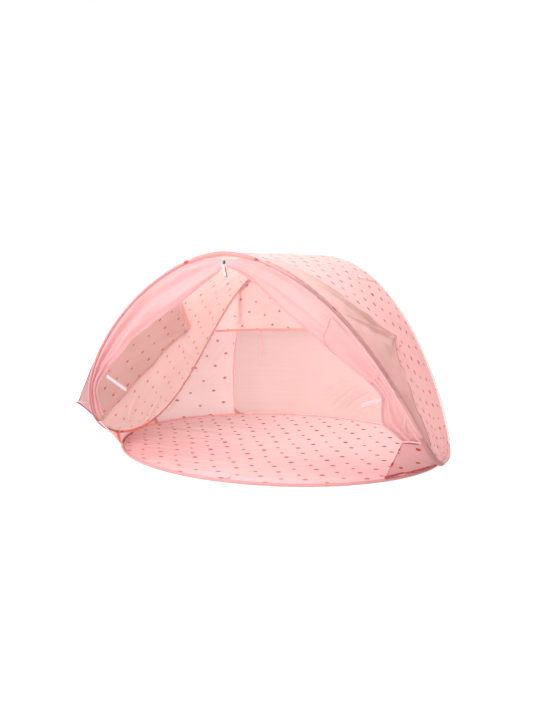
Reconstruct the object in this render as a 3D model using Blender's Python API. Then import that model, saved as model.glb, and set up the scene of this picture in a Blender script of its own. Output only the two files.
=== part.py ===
"""Pop-up baby tent: a floor ring and a saddle-shaped arch ring of spring steel
carry a dotted fabric shell, an open front door with gathered mesh curtains,
folded-back outer door flaps, a rear mesh window with a rolled-up cover flap,
a padded floor and a ground sheet.  Metres, +Z up, the door faces -Y.
"""
import math

import bmesh
import bpy
from mathutils import Vector

for old in list(bpy.data.objects):
    bpy.data.objects.remove(old, do_unlink=True)

# ------------------------------------------------------------------ sizes
GAP = 0.0004            # clearance between touching pieces
CLOTH = 0.0016          # thickness of a fabric layer
WIRE_R = 0.0020         # spring-steel wire in its sheath
SLEEVE_IN = 0.0029      # inner radius of the fabric sleeve round a wire
SLEEVE_OUT = 0.0042     # outer radius of that sleeve
EDGE = SLEEVE_OUT + GAP  # panel edge to wire centre
END = 0.0006            # each sleeve's end to the point where two sleeves meet

FLOOR_A = 0.540         # half length of the floor ring
FLOOR_B = 0.425         # half width of the floor ring
FLOOR_Z = 0.0062        # height of the floor ring's centre line
FLOOR_STATIONS = 64

FOOT_X = 0.553          # arch ring's lowest points at +-X
FOOT_Y = 0.020
FOOT_Z = 0.0064
FRONT = dict(top=0.634, px=1.780, pz=1.597, reach=-0.412, bend=3.506)
REAR = dict(top=0.630, px=2.580, pz=0.848, reach=0.319, bend=3.623)
ARCH_STATIONS = 25      # from a foot to an apex

SEAM_Z = 0.340          # rear seam, the window's top edge, at the arch legs
SEAM_RISE = 0.019       # how much higher the seam is in the middle
WINDOW_TOP_X = 0.288    # half width of the rear window at its top
WINDOW_LOW_X = 0.311    # half width of the rear window at the floor

# ------------------------------------------------------------------ helpers
def material(name, rgb, rough=0.8, metal=0.0):
    m = bpy.data.materials.new(name)
    m.use_nodes = True
    b = m.node_tree.nodes["Principled BSDF"]
    b.inputs["Base Color"].default_value = (*[(c / 255.0) ** 2.2 for c in rgb], 1)
    b.inputs["Roughness"].default_value = rough
    b.inputs["Metallic"].default_value = metal
    return m


DOTTED = (243, 196, 192)
PLAIN = (240, 187, 183)
MESH = (253, 205, 203)
ROSE = (214, 120, 118)
STEEL = (150, 150, 152)


def finish(bm, name, rgb, rough=0.8, metal=0.0, origin=None, smooth=True):
    bmesh.ops.recalc_face_normals(bm, faces=bm.faces)
    if bm.calc_volume(signed=True) < 0:
        bmesh.ops.reverse_faces(bm, faces=bm.faces)
    me = bpy.data.meshes.new(name)
    if origin is not None:
        bmesh.ops.translate(bm, verts=bm.verts, vec=-Vector(origin))
    bm.to_mesh(me)
    bm.free()
    ob = bpy.data.objects.new(name, me)
    bpy.context.scene.collection.objects.link(ob)
    if origin is not None:
        ob.location = origin
    me.materials.append(material(name + "_mat", rgb, rough, metal))
    if smooth:
        me.shade_smooth()
        me.set_sharp_from_angle(angle=math.radians(40))
    return ob


def grid_normals(g):
    n, m = len(g), len(g[0])
    out = []
    for i in range(n):
        row = []
        for j in range(m):
            a = g[min(i + 1, n - 1)][j] - g[max(i - 1, 0)][j]
            b = g[i][min(j + 1, m - 1)] - g[i][max(j - 1, 0)]
            k = a.cross(b)
            row.append(k.normalized() if k.length > 1e-12 else Vector((0, 0, 1)))
        out.append(row)
    return out


def sheet(name, g, rgb, thick=CLOTH, lift=0.0, toward=None, rough=0.85, origin=None):
    """Closed fabric layer round the grid g of points; lift moves it along the
    normal that points to the side of `toward`."""
    nn = grid_normals(g)
    n, m = len(g), len(g[0])
    flip = 1.0
    if toward is not None:
        c = g[n // 2][m // 2]
        if nn[n // 2][m // 2].dot(Vector(toward) - c) < 0:
            flip = -1.0
    bm = bmesh.new()
    lay = []
    for s in (lift + thick / 2, lift - thick / 2):
        lay.append([[bm.verts.new(g[i][j] + nn[i][j] * (s * flip)) for j in range(m)]
                    for i in range(n)])
    for k in (0, 1):
        L = lay[k]
        for i in range(n - 1):
            for j in range(m - 1):
                q = (L[i][j], L[i + 1][j], L[i + 1][j + 1], L[i][j + 1])
                a, b = (q[0], q[1], q[2]), (q[0], q[2], q[3])
                for t in (a, b):
                    bm.faces.new(t if k == 0 else t[::-1])
    rim = ([(i, 0) for i in range(n)] + [(n - 1, j) for j in range(1, m)]
           + [(i, m - 1) for i in range(n - 2, -1, -1)] + [(0, j) for j in range(m - 2, 0, -1)])
    for a, b in zip(rim, rim[1:] + rim[:1]):
        bm.faces.new((lay[0][a[0]][a[1]], lay[0][b[0]][b[1]], lay[1][b[0]][b[1]]))
        bm.faces.new((lay[0][a[0]][a[1]], lay[1][b[0]][b[1]], lay[1][a[0]][a[1]]))
    return finish(bm, name, rgb, rough, origin=origin)


def frames(pts, closed=False):
    """Tangent and two cross directions at each point of a smooth run."""
    n = len(pts)
    out = []
    ref = None
    for i in range(n):
        a = pts[(i - 1) % n] if closed or i > 0 else pts[0]
        b = pts[(i + 1) % n] if closed or i < n - 1 else pts[-1]
        t = (b - a).normalized()
        if ref is None:
            ref = Vector((0, 0, 1)) if abs(t.z) < 0.9 else Vector((1, 0, 0))
        u = (ref - t * ref.dot(t)).normalized()
        ref = u
        out.append((t, u, t.cross(u)))
    return out


def ring_of(bm, p, u, v, r, sides, phase=0.0):
    return [bm.verts.new(p + u * (r * math.cos(phase + 2 * math.pi * k / sides))
                         + v * (r * math.sin(phase + 2 * math.pi * k / sides)))
            for k in range(sides)]


def join(bm, a, b):
    s = len(a)
    for k in range(s):
        bm.faces.new((a[k], a[(k + 1) % s], b[(k + 1) % s], b[k]))


def rod(name, pts, r, rgb, sides=6, closed=False, rough=0.4, metal=0.0, origin=None):
    bm = bmesh.new()
    fr = frames(pts, closed)
    if closed:
        # spread the twist that remains after one turn over the whole loop
        t, u, v = fr[0]
        tl, ul, vl = fr[-1]
        d = ul - t * ul.dot(t)
        twist = math.atan2(d.dot(v), d.dot(u))
    else:
        twist = 0.0
    rings = [ring_of(bm, p, f[1], f[2], r, sides, -twist * i / len(pts))
             for i, (p, f) in enumerate(zip(pts, fr))]
    for a, b in zip(rings, rings[1:]):
        join(bm, a, b)
    if closed:
        join(bm, rings[-1], rings[0])
    else:
        bm.faces.new(rings[0][::-1])
        bm.faces.new(rings[-1])
    return finish(bm, name, rgb, rough, metal, origin=origin)


def sleeve(name, pts, r_in, r_out, rgb, sides=6, rough=0.85):
    """Open-ended fabric tube round a wire."""
    bm = bmesh.new()
    fr = frames(pts)
    ins = [ring_of(bm, p, f[1], f[2], r_in, sides) for p, f in zip(pts, fr)]
    out = [ring_of(bm, p, f[1], f[2], r_out, sides) for p, f in zip(pts, fr)]
    for a, b in zip(out, out[1:]):
        join(bm, a, b)
    for a, b in zip(ins, ins[1:]):
        join(bm, b, a)
    join(bm, ins[0], out[0])
    join(bm, out[-1], ins[-1])
    return finish(bm, name, rgb, rough)


def block(name, centre, size, rgb, rough=0.6, metal=0.0, bevel=0.0, origin=None, axes=None):
    bm = bmesh.new()
    bmesh.ops.create_cube(bm, size=1.0)
    ax = axes or (Vector((1, 0, 0)), Vector((0, 1, 0)), Vector((0, 0, 1)))
    for v in bm.verts:
        c = v.co.copy()
        v.co = Vector(centre) + ax[0] * (c.x * size[0]) + ax[1] * (c.y * size[1]) + ax[2] * (c.z * size[2])
    if bevel:
        bmesh.ops.bevel(bm, geom=list(bm.edges), offset=bevel, segments=2, affect='EDGES', profile=0.5)
    return finish(bm, name, rgb, rough, metal, origin=origin)


def lerp(a, b, t):
    return a * (1 - t) + b * t


# ------------------------------------------------------------------ rings
def arch_point(phi, c):
    """Point of a half arch: phi 0 at the foot, pi/2 at the apex."""
    s, k = math.sin(phi), math.cos(phi)
    x = FOOT_X * max(k, 0.0) ** (2 / c["px"])
    z = FOOT_Z + (c["top"] - FOOT_Z) * max(s, 0.0) ** (2 / c["pz"])
    w = (c["top"] - z) / (c["top"] - FOOT_Z)
    y = FOOT_Y + c["reach"] * math.sqrt(max(0.0, 1 - max(w, 0.0) ** c["bend"]))
    return Vector((x, y, z))


def half_arch(c, n=ARCH_STATIONS):
    """n evenly spaced points from the foot at +X up to the apex."""
    fine = [arch_point((math.pi / 2) * (k / 2400.0) ** 1.6, c) for k in range(2401)]
    fine[-1].x = 0.0
    run = [0.0]
    for a, b in zip(fine, fine[1:]):
        run.append(run[-1] + (b - a).length)
    out, k = [], 0
    for i in range(n):
        want = run[-1] * i / (n - 1)
        while k < len(run) - 2 and run[k + 1] < want:
            k += 1
        t = (want - run[k]) / max(run[k + 1] - run[k], 1e-9)
        out.append(lerp(fine[k], fine[k + 1], min(max(t, 0), 1)))
    return out


def flip(p):
    return Vector((-p.x, p.y, p.z))


FR = half_arch(FRONT)          # right half of the front arch, foot to apex
RR = half_arch(REAR)           # right half of the rear arch
N = ARCH_STATIONS - 1
FULL_FRONT = FR + [flip(p) for p in FR[-2::-1]]     # right foot -> left foot
FULL_REAR = RR + [flip(p) for p in RR[-2::-1]]
ARCH_LOOP = FULL_FRONT + FULL_REAR[-2:0:-1]


def floor_point(angle, extra=0.0, z=FLOOR_Z):
    return Vector(((FLOOR_A + extra) * math.cos(angle), (FLOOR_B + extra) * math.sin(angle), z))


FLOOR_LOOP = [floor_point(2 * math.pi * k / FLOOR_STATIONS) for k in range(FLOOR_STATIONS)]

rod("floor_ring_wire", FLOOR_LOOP, WIRE_R, STEEL, closed=True, rough=0.35, metal=1.0)
rod("arch_ring_wire", ARCH_LOOP, WIRE_R, STEEL, closed=True, rough=0.35, metal=1.0)


def trimmed(run, a=GAP, b=GAP):
    """The run with both ends pulled in along itself."""
    r = [p.copy() for p in run]
    r[0] = r[0] + (r[1] - r[0]).normalized() * a
    r[-1] = r[-1] + (r[-2] - r[-1]).normalized() * b
    return r


def mid_trim(run, a, b):
    """The run cut so that it starts a and ends b inside its end points."""
    return trimmed(run, a, b)


# the floor ring's hem: a front and a rear sleeve that meet under the foot pockets
H = FLOOR_STATIONS // 2
front_run = [FLOOR_LOOP[k % FLOOR_STATIONS] for k in range(H + 1, 2 * H)]
rear_run = [FLOOR_LOOP[k] for k in range(1, H)]
sleeve("floor_hem_front", mid_trim(front_run, END, END), SLEEVE_IN, SLEEVE_OUT, ROSE)
sleeve("floor_hem_rear", mid_trim(rear_run, END, END), SLEEVE_IN, SLEEVE_OUT, ROSE)
left_end = [FLOOR_LOOP[k] for k in (H - 1, H, H + 1)]
right_end = [FLOOR_LOOP[k % FLOOR_STATIONS] for k in (-1, 0, 1)]
sleeve("left_floor_hem_end", mid_trim(left_end, END, END), SLEEVE_IN, SLEEVE_OUT, ROSE)
# the right end leaves room for the crimped joint of the floor ring
tight = [lerp(right_end[0], right_end[1], t) for t in (0.30, 0.70)]
ferr = [lerp(right_end[0], right_end[1], 0.80), right_end[1], lerp(right_end[1], right_end[2], 0.20)]
sleeve("floor_ring_ferrule", ferr, WIRE_R + 0.00035, 0.0038, STEEL, rough=0.3)
sleeve("right_floor_hem_end", [lerp(right_end[1], right_end[2], 0.24), lerp(right_end[1], right_end[2], 0.62),
                               right_end[2] - (right_end[2] - right_end[1]).normalized() * END],
       SLEEVE_IN, SLEEVE_OUT, ROSE)

# the arch ring's sleeves: front, rear, and a short pocket at each foot
sleeve("front_arch_sleeve", mid_trim(FULL_FRONT[2:-2], END, END), SLEEVE_IN, SLEEVE_OUT, ROSE)
sleeve("rear_arch_sleeve", mid_trim(FULL_REAR[2:-2], END, END), SLEEVE_IN, SLEEVE_OUT, ROSE)
foot_r = [FR[2], FR[1], FR[0], RR[1], RR[2]]
sleeve("left_foot_pocket", mid_trim([flip(p) for p in foot_r], END, END), SLEEVE_IN, SLEEVE_OUT, PLAIN)
sleeve("right_foot_pocket", mid_trim([FR[0], RR[1], RR[2]], END, END), SLEEVE_IN, SLEEVE_OUT, PLAIN)
sleeve("arch_ring_ferrule", [lerp(FR[1], FR[0], 0.30), lerp(FR[1], FR[0], 0.90)], WIRE_R + 0.00035, 0.0038,
       STEEL, rough=0.3)

# ------------------------------------------------------------------ shell
def inward(run, i, other):
    """Unit direction at station i, square to the run, toward the point other."""
    t = (run[min(i + 1, len(run) - 1)] - run[max(i - 1, 0)]).normalized()
    d = other - run[i]
    d = d - t * d.dot(t)
    return d.normalized()


def wall_grid(side, cols=6, first=2):
    """Rows foot to ridge, columns from the front arch to the rear arch."""
    g = []
    for i in range(first, N + 1):
        a = FR[i] + inward(FULL_FRONT, i, RR[i]) * EDGE
        b = RR[i] + inward(FULL_REAR, i, FR[i]) * EDGE
        row = [lerp(a, b, j / cols) for j in range(cols + 1)]
        if i == N:
            for p in row:
                p.x = 0.0007
        g.append([Vector((p.x * side, p.y, p.z)) for p in row])
    return g


CENTRE = Vector((0, 0, 0.25))
for side, name in ((1, "right_side_wall"), (-1, "left_side_wall")):
    sheet(name, wall_grid(side), DOTTED)

# tape over the ridge seam, outside
ridge = []
for t in (0.0, 0.25, 0.5, 0.75, 1.0):
    a = FR[N] + Vector((0, EDGE + 0.004, 0))
    b = RR[N] - Vector((0, EDGE + 0.004, 0))
    c = lerp(a, b, t)
    w = 0.008
    side_z = lerp(FR[N - 1], RR[N - 1], t)
    drop = (c.z - side_z.z) * (w / side_z.x)
    ridge.append([c + Vector((-w, 0, -drop)), c + Vector((0, 0, 0)), c + Vector((w, 0, -drop))])
sheet("ridge_tape", ridge, DOTTED, thick=0.0010, lift=0.0008 + 0.0004 + 0.0005, toward=(0, 0, 5))

# rear upper panel: level rows between the two legs of the rear arch
def rear_at(z):
    """Station-like point of the right rear leg at height z."""
    for i in range(N):
        if RR[i].z <= z <= RR[i + 1].z:
            t = (z - RR[i].z) / (RR[i + 1].z - RR[i].z)
            return i + t, lerp(RR[i], RR[i + 1], t)
    return N, RR[N]


S_SEAM, P_SEAM = rear_at(SEAM_Z)
SEAM_Y = P_SEAM.y


def seam_rise(x):
    return SEAM_RISE * (1 - min(1.0, abs(x) / P_SEAM.x) ** 1.3)


rows = []
first = int(math.ceil(S_SEAM + 0.25))
heads = [None] + list(range(first, N)) + ["top"]
for h in heads:
    if h is None:
        e = P_SEAM + Vector((-EDGE * 1.25, 0, 0.0003))
    elif h == "top":
        e = Vector((0.012, RR[N].y, RR[N].z - EDGE - 0.0022))
    else:
        e = RR[h] + inward(FULL_REAR, h, Vector((0, RR[h].y, 0.30))) * EDGE
    row = [Vector((e.x * k / 8, e.y, e.z)) for k in range(-8, 9)]
    if h is None:
        row = [Vector((p.x, p.y, p.z + seam_rise(p.x))) for p in row]
    rows.append(row)
REAR_ROWS = rows
sheet("rear_upper_panel", rows, DOTTED)


def seam_pt(x):
    return Vector((x, SEAM_Y, SEAM_Z - 0.0012 + seam_rise(x)))


def rim_pt(x):
    """Point above the rear floor hem at the given x."""
    y = FLOOR_B * math.sqrt(max(0.0, 1 - (x / FLOOR_A) ** 2))
    return Vector((x, y, FLOOR_Z + 0.0052))


VROWS = 8
def window_edge(v, side, inset=0.0):
    a = seam_pt(side * (WINDOW_TOP_X - inset))
    b = rim_pt(side * (WINDOW_LOW_X - inset))
    return lerp(a, b, v)


def rear_side_grid(side, cols=6):
    """Fabric between the window's edge, the seam, the arch leg and the floor."""
    run = [P_SEAM] + [RR[i] for i in range(int(S_SEAM), 1, -1)]
    out_edge = []
    for k, p in enumerate(run):
        a = run[max(k - 1, 0)]
        b = run[min(k + 1, len(run) - 1)]
        t = (b - a).normalized()
        d = Vector((0, FLOOR_B, 0.05)) - p
        d = (d - t * d.dot(t)).normalized()
        q = p + d * (EDGE * 1.04)
        out_edge.append(q)
    out_edge[0] = P_SEAM + Vector((-EDGE * 1.25, 0, -0.0012))
    tot = [0.0]
    for a, b in zip(out_edge, out_edge[1:]):
        tot.append(tot[-1] + (b - a).length)
    ang1 = math.atan2(rim_pt(WINDOW_LOW_X).y / FLOOR_B, WINDOW_LOW_X / FLOOR_A)
    last = out_edge[-1]
    g = []
    for k, q in enumerate(out_edge):
        v = tot[k] / tot[-1]
        a = window_edge(v, 1, inset=-0.0004)
        row = []
        for j in range(cols + 1):
            u = j / cols
            p = lerp(a, q, u)
            low = lerp(window_edge(1, 1, inset=-0.0004), last, u)
            th = ang1 * (1 - u) + 0.225 * u
            rim = Vector((FLOOR_A * math.cos(th), FLOOR_B * math.sin(th), FLOOR_Z + 0.0052))
            if j == cols:
                rim = low
            p = p + (rim - low) * v ** 2
            row.append(Vector((p.x * side, p.y, p.z)))
        g.append(row)
    return g


for side, name in ((1, "rear_right_panel"), (-1, "rear_left_panel")):
    sheet(name, rear_side_grid(side), DOTTED)

win = []
for k in range(VROWS + 1):
    v = k / VROWS
    row = []
    for j in range(17):
        u = -1 + 2 * j / 16
        a = seam_pt(u * (WINDOW_TOP_X - 0.0004))
        b = rim_pt(u * (WINDOW_LOW_X - 0.0004))
        row.append(lerp(a, b, v))
    win.append(row)
sheet("rear_window_mesh", win, MESH, thick=0.0010)

# flat tape round the window, on the inside of the seams
def ring_sheet(name, outer, inner, rgb, thick, lift, toward):
    """Closed band between two rings of matching points."""
    n = len(outer)
    bm = bmesh.new()
    lay = []
    for s in (lift + thick / 2, lift - thick / 2):
        o, q = [], []
        for k in range(n):
            t = outer[(k + 1) % n] - outer[k - 1]
            w = inner[k] - outer[k]
            nn = t.cross(w).normalized()
            if nn.dot(Vector(toward) - outer[k]) < 0:
                nn = -nn
            o.append(bm.verts.new(outer[k] + nn * s))
            q.append(bm.verts.new(inner[k] + nn * s))
        lay.append((o, q))
    (o1, q1), (o2, q2) = lay
    for k in range(n):
        m = (k + 1) % n
        for quad in ((o1[k], o1[m], q1[m], q1[k]), (o2[m], o2[k], q2[k], q2[m]),
                     (o1[m], o1[k], o2[k], o2[m]), (q1[k], q1[m], q2[m], q2[k])):
            bm.faces.new(quad[:3])
            bm.faces.new((quad[0], quad[2], quad[3]))
    return finish(bm, name, rgb, 0.8)


def win_pt(u, v):
    return lerp(seam_pt(u * WINDOW_TOP_X), rim_pt(u * WINDOW_LOW_X), v)


bo, bi = [], []
hu, hv = 0.012 / WINDOW_TOP_X, 0.012 / 0.34
loop = ([(-1 + 2 * j / 16, 0.0) for j in range(16)] + [(1.0, k / 6) for k in range(6)]
        + [(1 - 2 * j / 16, 1.0) for j in range(16)] + [(-1.0, 1 - k / 6) for k in range(6)])
for u, v in loop:
    bo.append(win_pt(u * (1 - 0.15 * hu), min(max(v, 0.004), 0.975)))
    bi.append(win_pt(max(min(u, 1 - hu), -1 + hu), min(max(v, hv), 0.975 - hv)))
ring_sheet("rear_window_binding", bo, bi, ROSE, 0.0008, 0.0021, (0, 0, 0.2))

# ------------------------------------------------------------------ floor
def disc(name, a, b, z0, z1, rgb, bevel=0.0, n=64, rough=0.9):
    bm = bmesh.new()
    prof = [(0.0, z0), (0.0, z1)] if not bevel else [(0.0, z0), (0.0, z1 - bevel), (-bevel, z1)]
    rings = []
    for d, z in prof:
        rings.append([bm.verts.new(((a + d) * math.cos(2 * math.pi * k / n),
                                    (b + d) * math.sin(2 * math.pi * k / n), z)) for k in range(n)])
    for p, q in zip(rings, rings[1:]):
        join(bm, p, q)
    bm.faces.new(rings[0][::-1])
    bm.faces.new(rings[-1])
    return finish(bm, name, rgb, rough)


disc("ground_sheet", 0.5350, 0.4200, 0.0, 0.0012, PLAIN)
disc("floor_mat", 0.5346, 0.4196, 0.0016, 0.0090, (250, 198, 198), bevel=0.002)

# blank tab sewn to the mat at the doorway
block("floor_tab", (-0.006, -0.4020, 0.0098), (0.034, 0.016, 0.0009), (250, 240, 238))

# ------------------------------------------------------------------ front
def corner_gusset(side, top_i, drop_x, rim_from, rim_to, cols=5):
    """Fabric between the arch leg's front, the floor hem and a free edge."""
    hoop = []
    for i in range(3, top_i + 1):
        d = Vector((0.0, -FLOOR_B, 0.02)) - FR[i]
        t = (FR[i + 1] - FR[i - 1]).normalized()
        d = (d - t * d.dot(t)).normalized()
        hoop.append(FR[i] + d * (EDGE * 1.05))
    top_in = hoop[-1] + Vector((-drop_x, -0.004, 0.0))
    n = len(hoop)
    g = []
    for k in range(n):
        v = k / (n - 1)                      # 0 low, 1 top
        row = []
        for j in range(cols + 1):
            u = j / cols                     # 0 hoop, 1 free edge
            th = math.radians(rim_from + (rim_to - rim_from) * u)
            rim = Vector((FLOOR_A * math.cos(th), FLOOR_B * math.sin(th), FLOOR_Z + 0.0054))
            top = lerp(hoop[-1], top_in, u)
            p = lerp(rim, top, v)
            low_h = Vector((FLOOR_A * math.cos(math.radians(rim_from)),
                            FLOOR_B * math.sin(math.radians(rim_from)), FLOOR_Z + 0.0054))
            p = p + (hoop[k] - lerp(low_h, hoop[-1], v)) * (1 - u)
            row.append(Vector((p.x * side, p.y, p.z)))
        g.append(row)
    return g


GUSSET_R = corner_gusset(1, 7, 0.048, -19.0, -36.0)
sheet("right_corner_gusset", GUSSET_R, (225, 160, 161))
GUSSET_L = corner_gusset(-1, 6, 0.012, -19.0, -30.0)
sheet("left_corner_gusset", GUSSET_L, PLAIN)

# fixed crescent under the front apex, above the zip
top_run = [FR[i] for i in (22, 23, 24)] + [flip(FR[i]) for i in (23, 22)]
g = []
for p, i in zip(top_run, (22, 23, 24, 25, 26)):
    q = FULL_FRONT[i] + inward(FULL_FRONT, i, Vector((0, FR[N].y, 0.3))) * EDGE
    low = Vector((q.x, q.y, 0.6165))
    if low.z > q.z - 0.003:
        low.z = q.z - 0.003
    g.append([q, lerp(q, low, 0.5), low])
sheet("front_top_panel", g, (254, 218, 217))

# rose band over the crest of the front arch
g = []
for i in range(21, 28):
    t = (FULL_FRONT[i + 1] - FULL_FRONT[i - 1]).normalized()
    up = (Vector((0, 0, 1)) - t * t.z).normalized()
    fwd = Vector((0, -1, 0))
    fwd = (fwd - t * fwd.dot(t)).normalized()
    row = []
    for a in (-35, 0, 35, 70, 100):
        r = math.radians(a)
        row.append(FULL_FRONT[i] + (fwd * math.cos(r) + up * math.sin(r)) * (SLEEVE_OUT + 0.0004 + 0.0008))
    g.append(row)
sheet("apex_band", g, (228, 130, 132), thick=0.0012)

# gathered mesh curtains: width from the arch inward, narrow at the tie-back
CURTAIN_WIDTH = {0.29: 0.050, 0.40: 0.052, 0.48: 0.040, 0.60: 0.070, 0.72: 0.083,
                 0.81: 0.083, 0.90: 0.058, 0.96: 0.038}


def eased(table, s):
    k = sorted(table)
    s = min(max(s, k[0]), k[-1])
    for a, b in zip(k, k[1:]):
        if a <= s <= b:
            t = (s - a) / (b - a)
            t = t * t * (3 - 2 * t)
            return table[a] * (1 - t) + table[b] * t
    return table[k[-1]]


DOOR_AIM = Vector((0, -0.40, 0.30))


def curtain_row(i):
    """Arch point, direction into the doorway, start and width at station i."""
    w = eased(CURTAIN_WIDTH, i / N)
    d = inward(FULL_FRONT, i, DOOR_AIM)
    p = FR[i]
    if i == N:                       # beside the zip slider
        p = p + Vector((0.0078, 0, 0))
        d = Vector((0, 0, -1))
        w = 0.034
    top = 0.6080 if i == 22 else 0.6130          # clear of the crescent above
    start = max(EDGE + 0.0012, (p.z - top) / max(-d.z, 0.1) if i > 21 else 0.0)
    return p, d, start, w


def curtain_grid(side, a, b, cols):
    g = []
    for i in range(8, 25):
        p, d, start, w = curtain_row(i)
        row = [p + d * (start + (w - start) * (a + (b - a) * j / cols))
               for j in range(cols + 1)]
        g.append([Vector((p.x * side, p.y, p.z)) for p in row])
    return g


for side, name in ((1, "right"), (-1, "left")):
    sheet(name + "_mesh_curtain", curtain_grid(side, 0.0, 1.0, 4), MESH, thick=0.004)
    g = []
    for i in range(8, 25):
        p, d, start, w = curtain_row(i)
        g.append([Vector(((p + d * (w + e)).x * side, (p + d * (w + e)).y, (p + d * (w + e)).z))
                  for e in (0.0006, 0.0086)])
    sheet(name + "_zip_tape", g, ROSE, thick=0.0012)

# zip slider, its puller and the ribbon pull, parked at the top of the zip
ZX, ZY, ZZ = 0.0, FR[N].y, 0.6100
block("zip_slider", (ZX, ZY, ZZ), (0.0085, 0.0055, 0.0105), (80, 70, 72), rough=0.35, metal=1.0, bevel=0.0010)
PULL_Y = ZY - 0.0055 / 2 - 0.0004 - 0.0006
PULL_Z = ZZ + 0.0030
block("zip_puller", (ZX, PULL_Y, PULL_Z - 0.0045), (0.0050, 0.0012, 0.0090), (80, 70, 72), rough=0.35,
      metal=1.0, origin=(ZX, PULL_Y, PULL_Z))
RIB_Z = PULL_Z - 0.0090 - 0.00035
block("zip_ribbon", (ZX, PULL_Y, RIB_Z - 0.00035 - 0.01725), (0.0085, 0.0011, 0.0345), (252, 225, 226),
      origin=(ZX, PULL_Y, RIB_Z))

# ------------------------------------------------------------------ flaps
# share of the wall's depth that each flap covers, by height along the arch;
# the left flap is pulled further back than the right one
FLAP_REACH = {1: {0.26: 0.03, 0.336: 0.10, 0.426: 0.25, 0.489: 0.32, 0.553: 0.58,
                  0.62: 0.39, 0.689: 0.26, 0.795: 0.14, 0.90: 0.03},
              -1: {0.26: 0.06, 0.313: 0.23, 0.362: 0.30, 0.425: 0.46, 0.489: 0.55, 0.547: 0.70,
                   0.61: 0.56, 0.673: 0.42, 0.77: 0.22, 0.90: 0.03}}


def straight(table, s):
    k = sorted(table)
    for a, b in zip(k, k[1:]):
        if a <= s <= b:
            return table[a] + (table[b] - table[a]) * (s - a) / (b - a)
    return table[k[0]] if s < k[0] else table[k[-1]]


def leg(run, s):
    x = s * N
    i = min(int(x), N - 1)
    return lerp(run[i], run[i + 1], x - i)


def wall_point(s, t):
    """Point of the right side wall: s up from the foot, t front to rear."""
    x = s * N
    i = min(int(x), N - 1)
    pts = []
    for k in (i, i + 1):
        a = FR[k] + inward(FULL_FRONT, k, RR[k]) * EDGE
        b = RR[k] + inward(FULL_REAR, k, FR[k]) * EDGE
        pts.append(lerp(a, b, t))
    return lerp(pts[0], pts[1], x - i)


def wall_normal(s, t):
    e = 0.01
    a = wall_point(min(s + e, 0.999), t) - wall_point(max(s - e, 0.06), t)
    b = wall_point(s, min(t + e, 1)) - wall_point(s, max(t - e, 0))
    n = a.cross(b).normalized()
    return n if n.dot(wall_point(s, t) - CENTRE) > 0 else -n


FLAP_LIFT = 0.0040
TIP = {1: (0.553, 0.58), -1: (0.547, 0.70)}
POST = {1: (0.526, 0.505), -1: (0.520, 0.662)}     # the button below each tip


def mirror(p, side):
    return Vector((p.x * side, p.y, p.z))


def flap_grid(side, cols=4):
    g = []
    stations = [0.27] + [i / N for i in range(7, 22)] + [0.895]
    stations = sorted(stations + [TIP[side][0]])
    for s in stations:
        reach = straight(FLAP_REACH[side], s)
        row = []
        for j in range(cols + 1):
            t = 0.004 + (reach - 0.004) * j / cols
            row.append(mirror(wall_point(s, t) + wall_normal(s, t) * FLAP_LIFT, side))
        g.append(row)
    return g


# the flap swings on a line that touches the arch at the flap's middle
HINGE_P = wall_point(0.58, 0.0) + wall_normal(0.58, 0.0) * FLAP_LIFT
for side, name in ((1, "right"), (-1, "left")):
    sheet(name + "_door_flap", flap_grid(side), PLAIN, thick=0.0014, origin=mirror(HINGE_P, side))
    # post on the side wall and the elastic loop on the flap's tip
    post_s, post_t = POST[side]
    tp, tn = wall_point(post_s, post_t), wall_normal(post_s, post_t)
    along = (wall_point(post_s, 1.0) - wall_point(post_s, 0.0)).normalized()
    acr = tn.cross(along).normalized()
    base = mirror(tp + tn * (CLOTH / 2 + GAP), side)
    nrm = mirror(tn, side)
    bm = bmesh.new()
    u = mirror(along, side).normalized()
    v = nrm.cross(u).normalized()
    prof = [(0.0046, 0.0), (0.0046, 0.0012), (0.0017, 0.0016), (0.0017, 0.0095), (0.0012, 0.0102)]
    rings = [ring_of(bm, base + nrm * h, u, v, r, 10) for r, h in prof]
    for a, b in zip(rings, rings[1:]):
        join(bm, a, b)
    bm.faces.new(rings[0][::-1])
    bm.faces.new(rings[-1])
    finish(bm, name + "_flap_button", (70, 62, 64), 0.5)
    # loop: a flat oval ring round the post
    c = base + nrm * 0.0045
    bm = bmesh.new()
    n_l = 14
    rings = []
    for k in range(n_l):
        a = 2 * math.pi * k / n_l
        d = u * math.cos(a) + v * math.sin(a)
        p = c + u * (0.0042 * math.cos(a)) + v * (0.0042 * math.sin(a))
        rings.append(ring_of(bm, p, d, nrm, 0.0010, 6))
    for k in range(n_l):
        join(bm, rings[k], rings[(k + 1) % n_l])
    finish(bm, name + "_flap_loop", (250, 235, 235), 0.8, origin=mirror(HINGE_P, side))

# rear window cover, folded up outside the rear upper panel
COVER_Y = RR[N].y + CLOTH / 2 + 0.0012 + CLOTH / 2
COVER_Z0, COVER_Z1 = SEAM_Z + 0.0020, 0.603
g = []
for k in range(9):
    z = COVER_Z0 + (COVER_Z1 - COVER_Z0) * k / 8
    half = min(0.280, rear_at(z)[1].x - 0.014)
    g.append([Vector((half * (-1 + 2 * j / 6), COVER_Y, z)) for j in range(7)])
COVER_AXIS = (0.0, COVER_Y, COVER_Z0)
sheet("rear_window_cover", g, DOTTED, thick=CLOTH, origin=COVER_AXIS)

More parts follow.
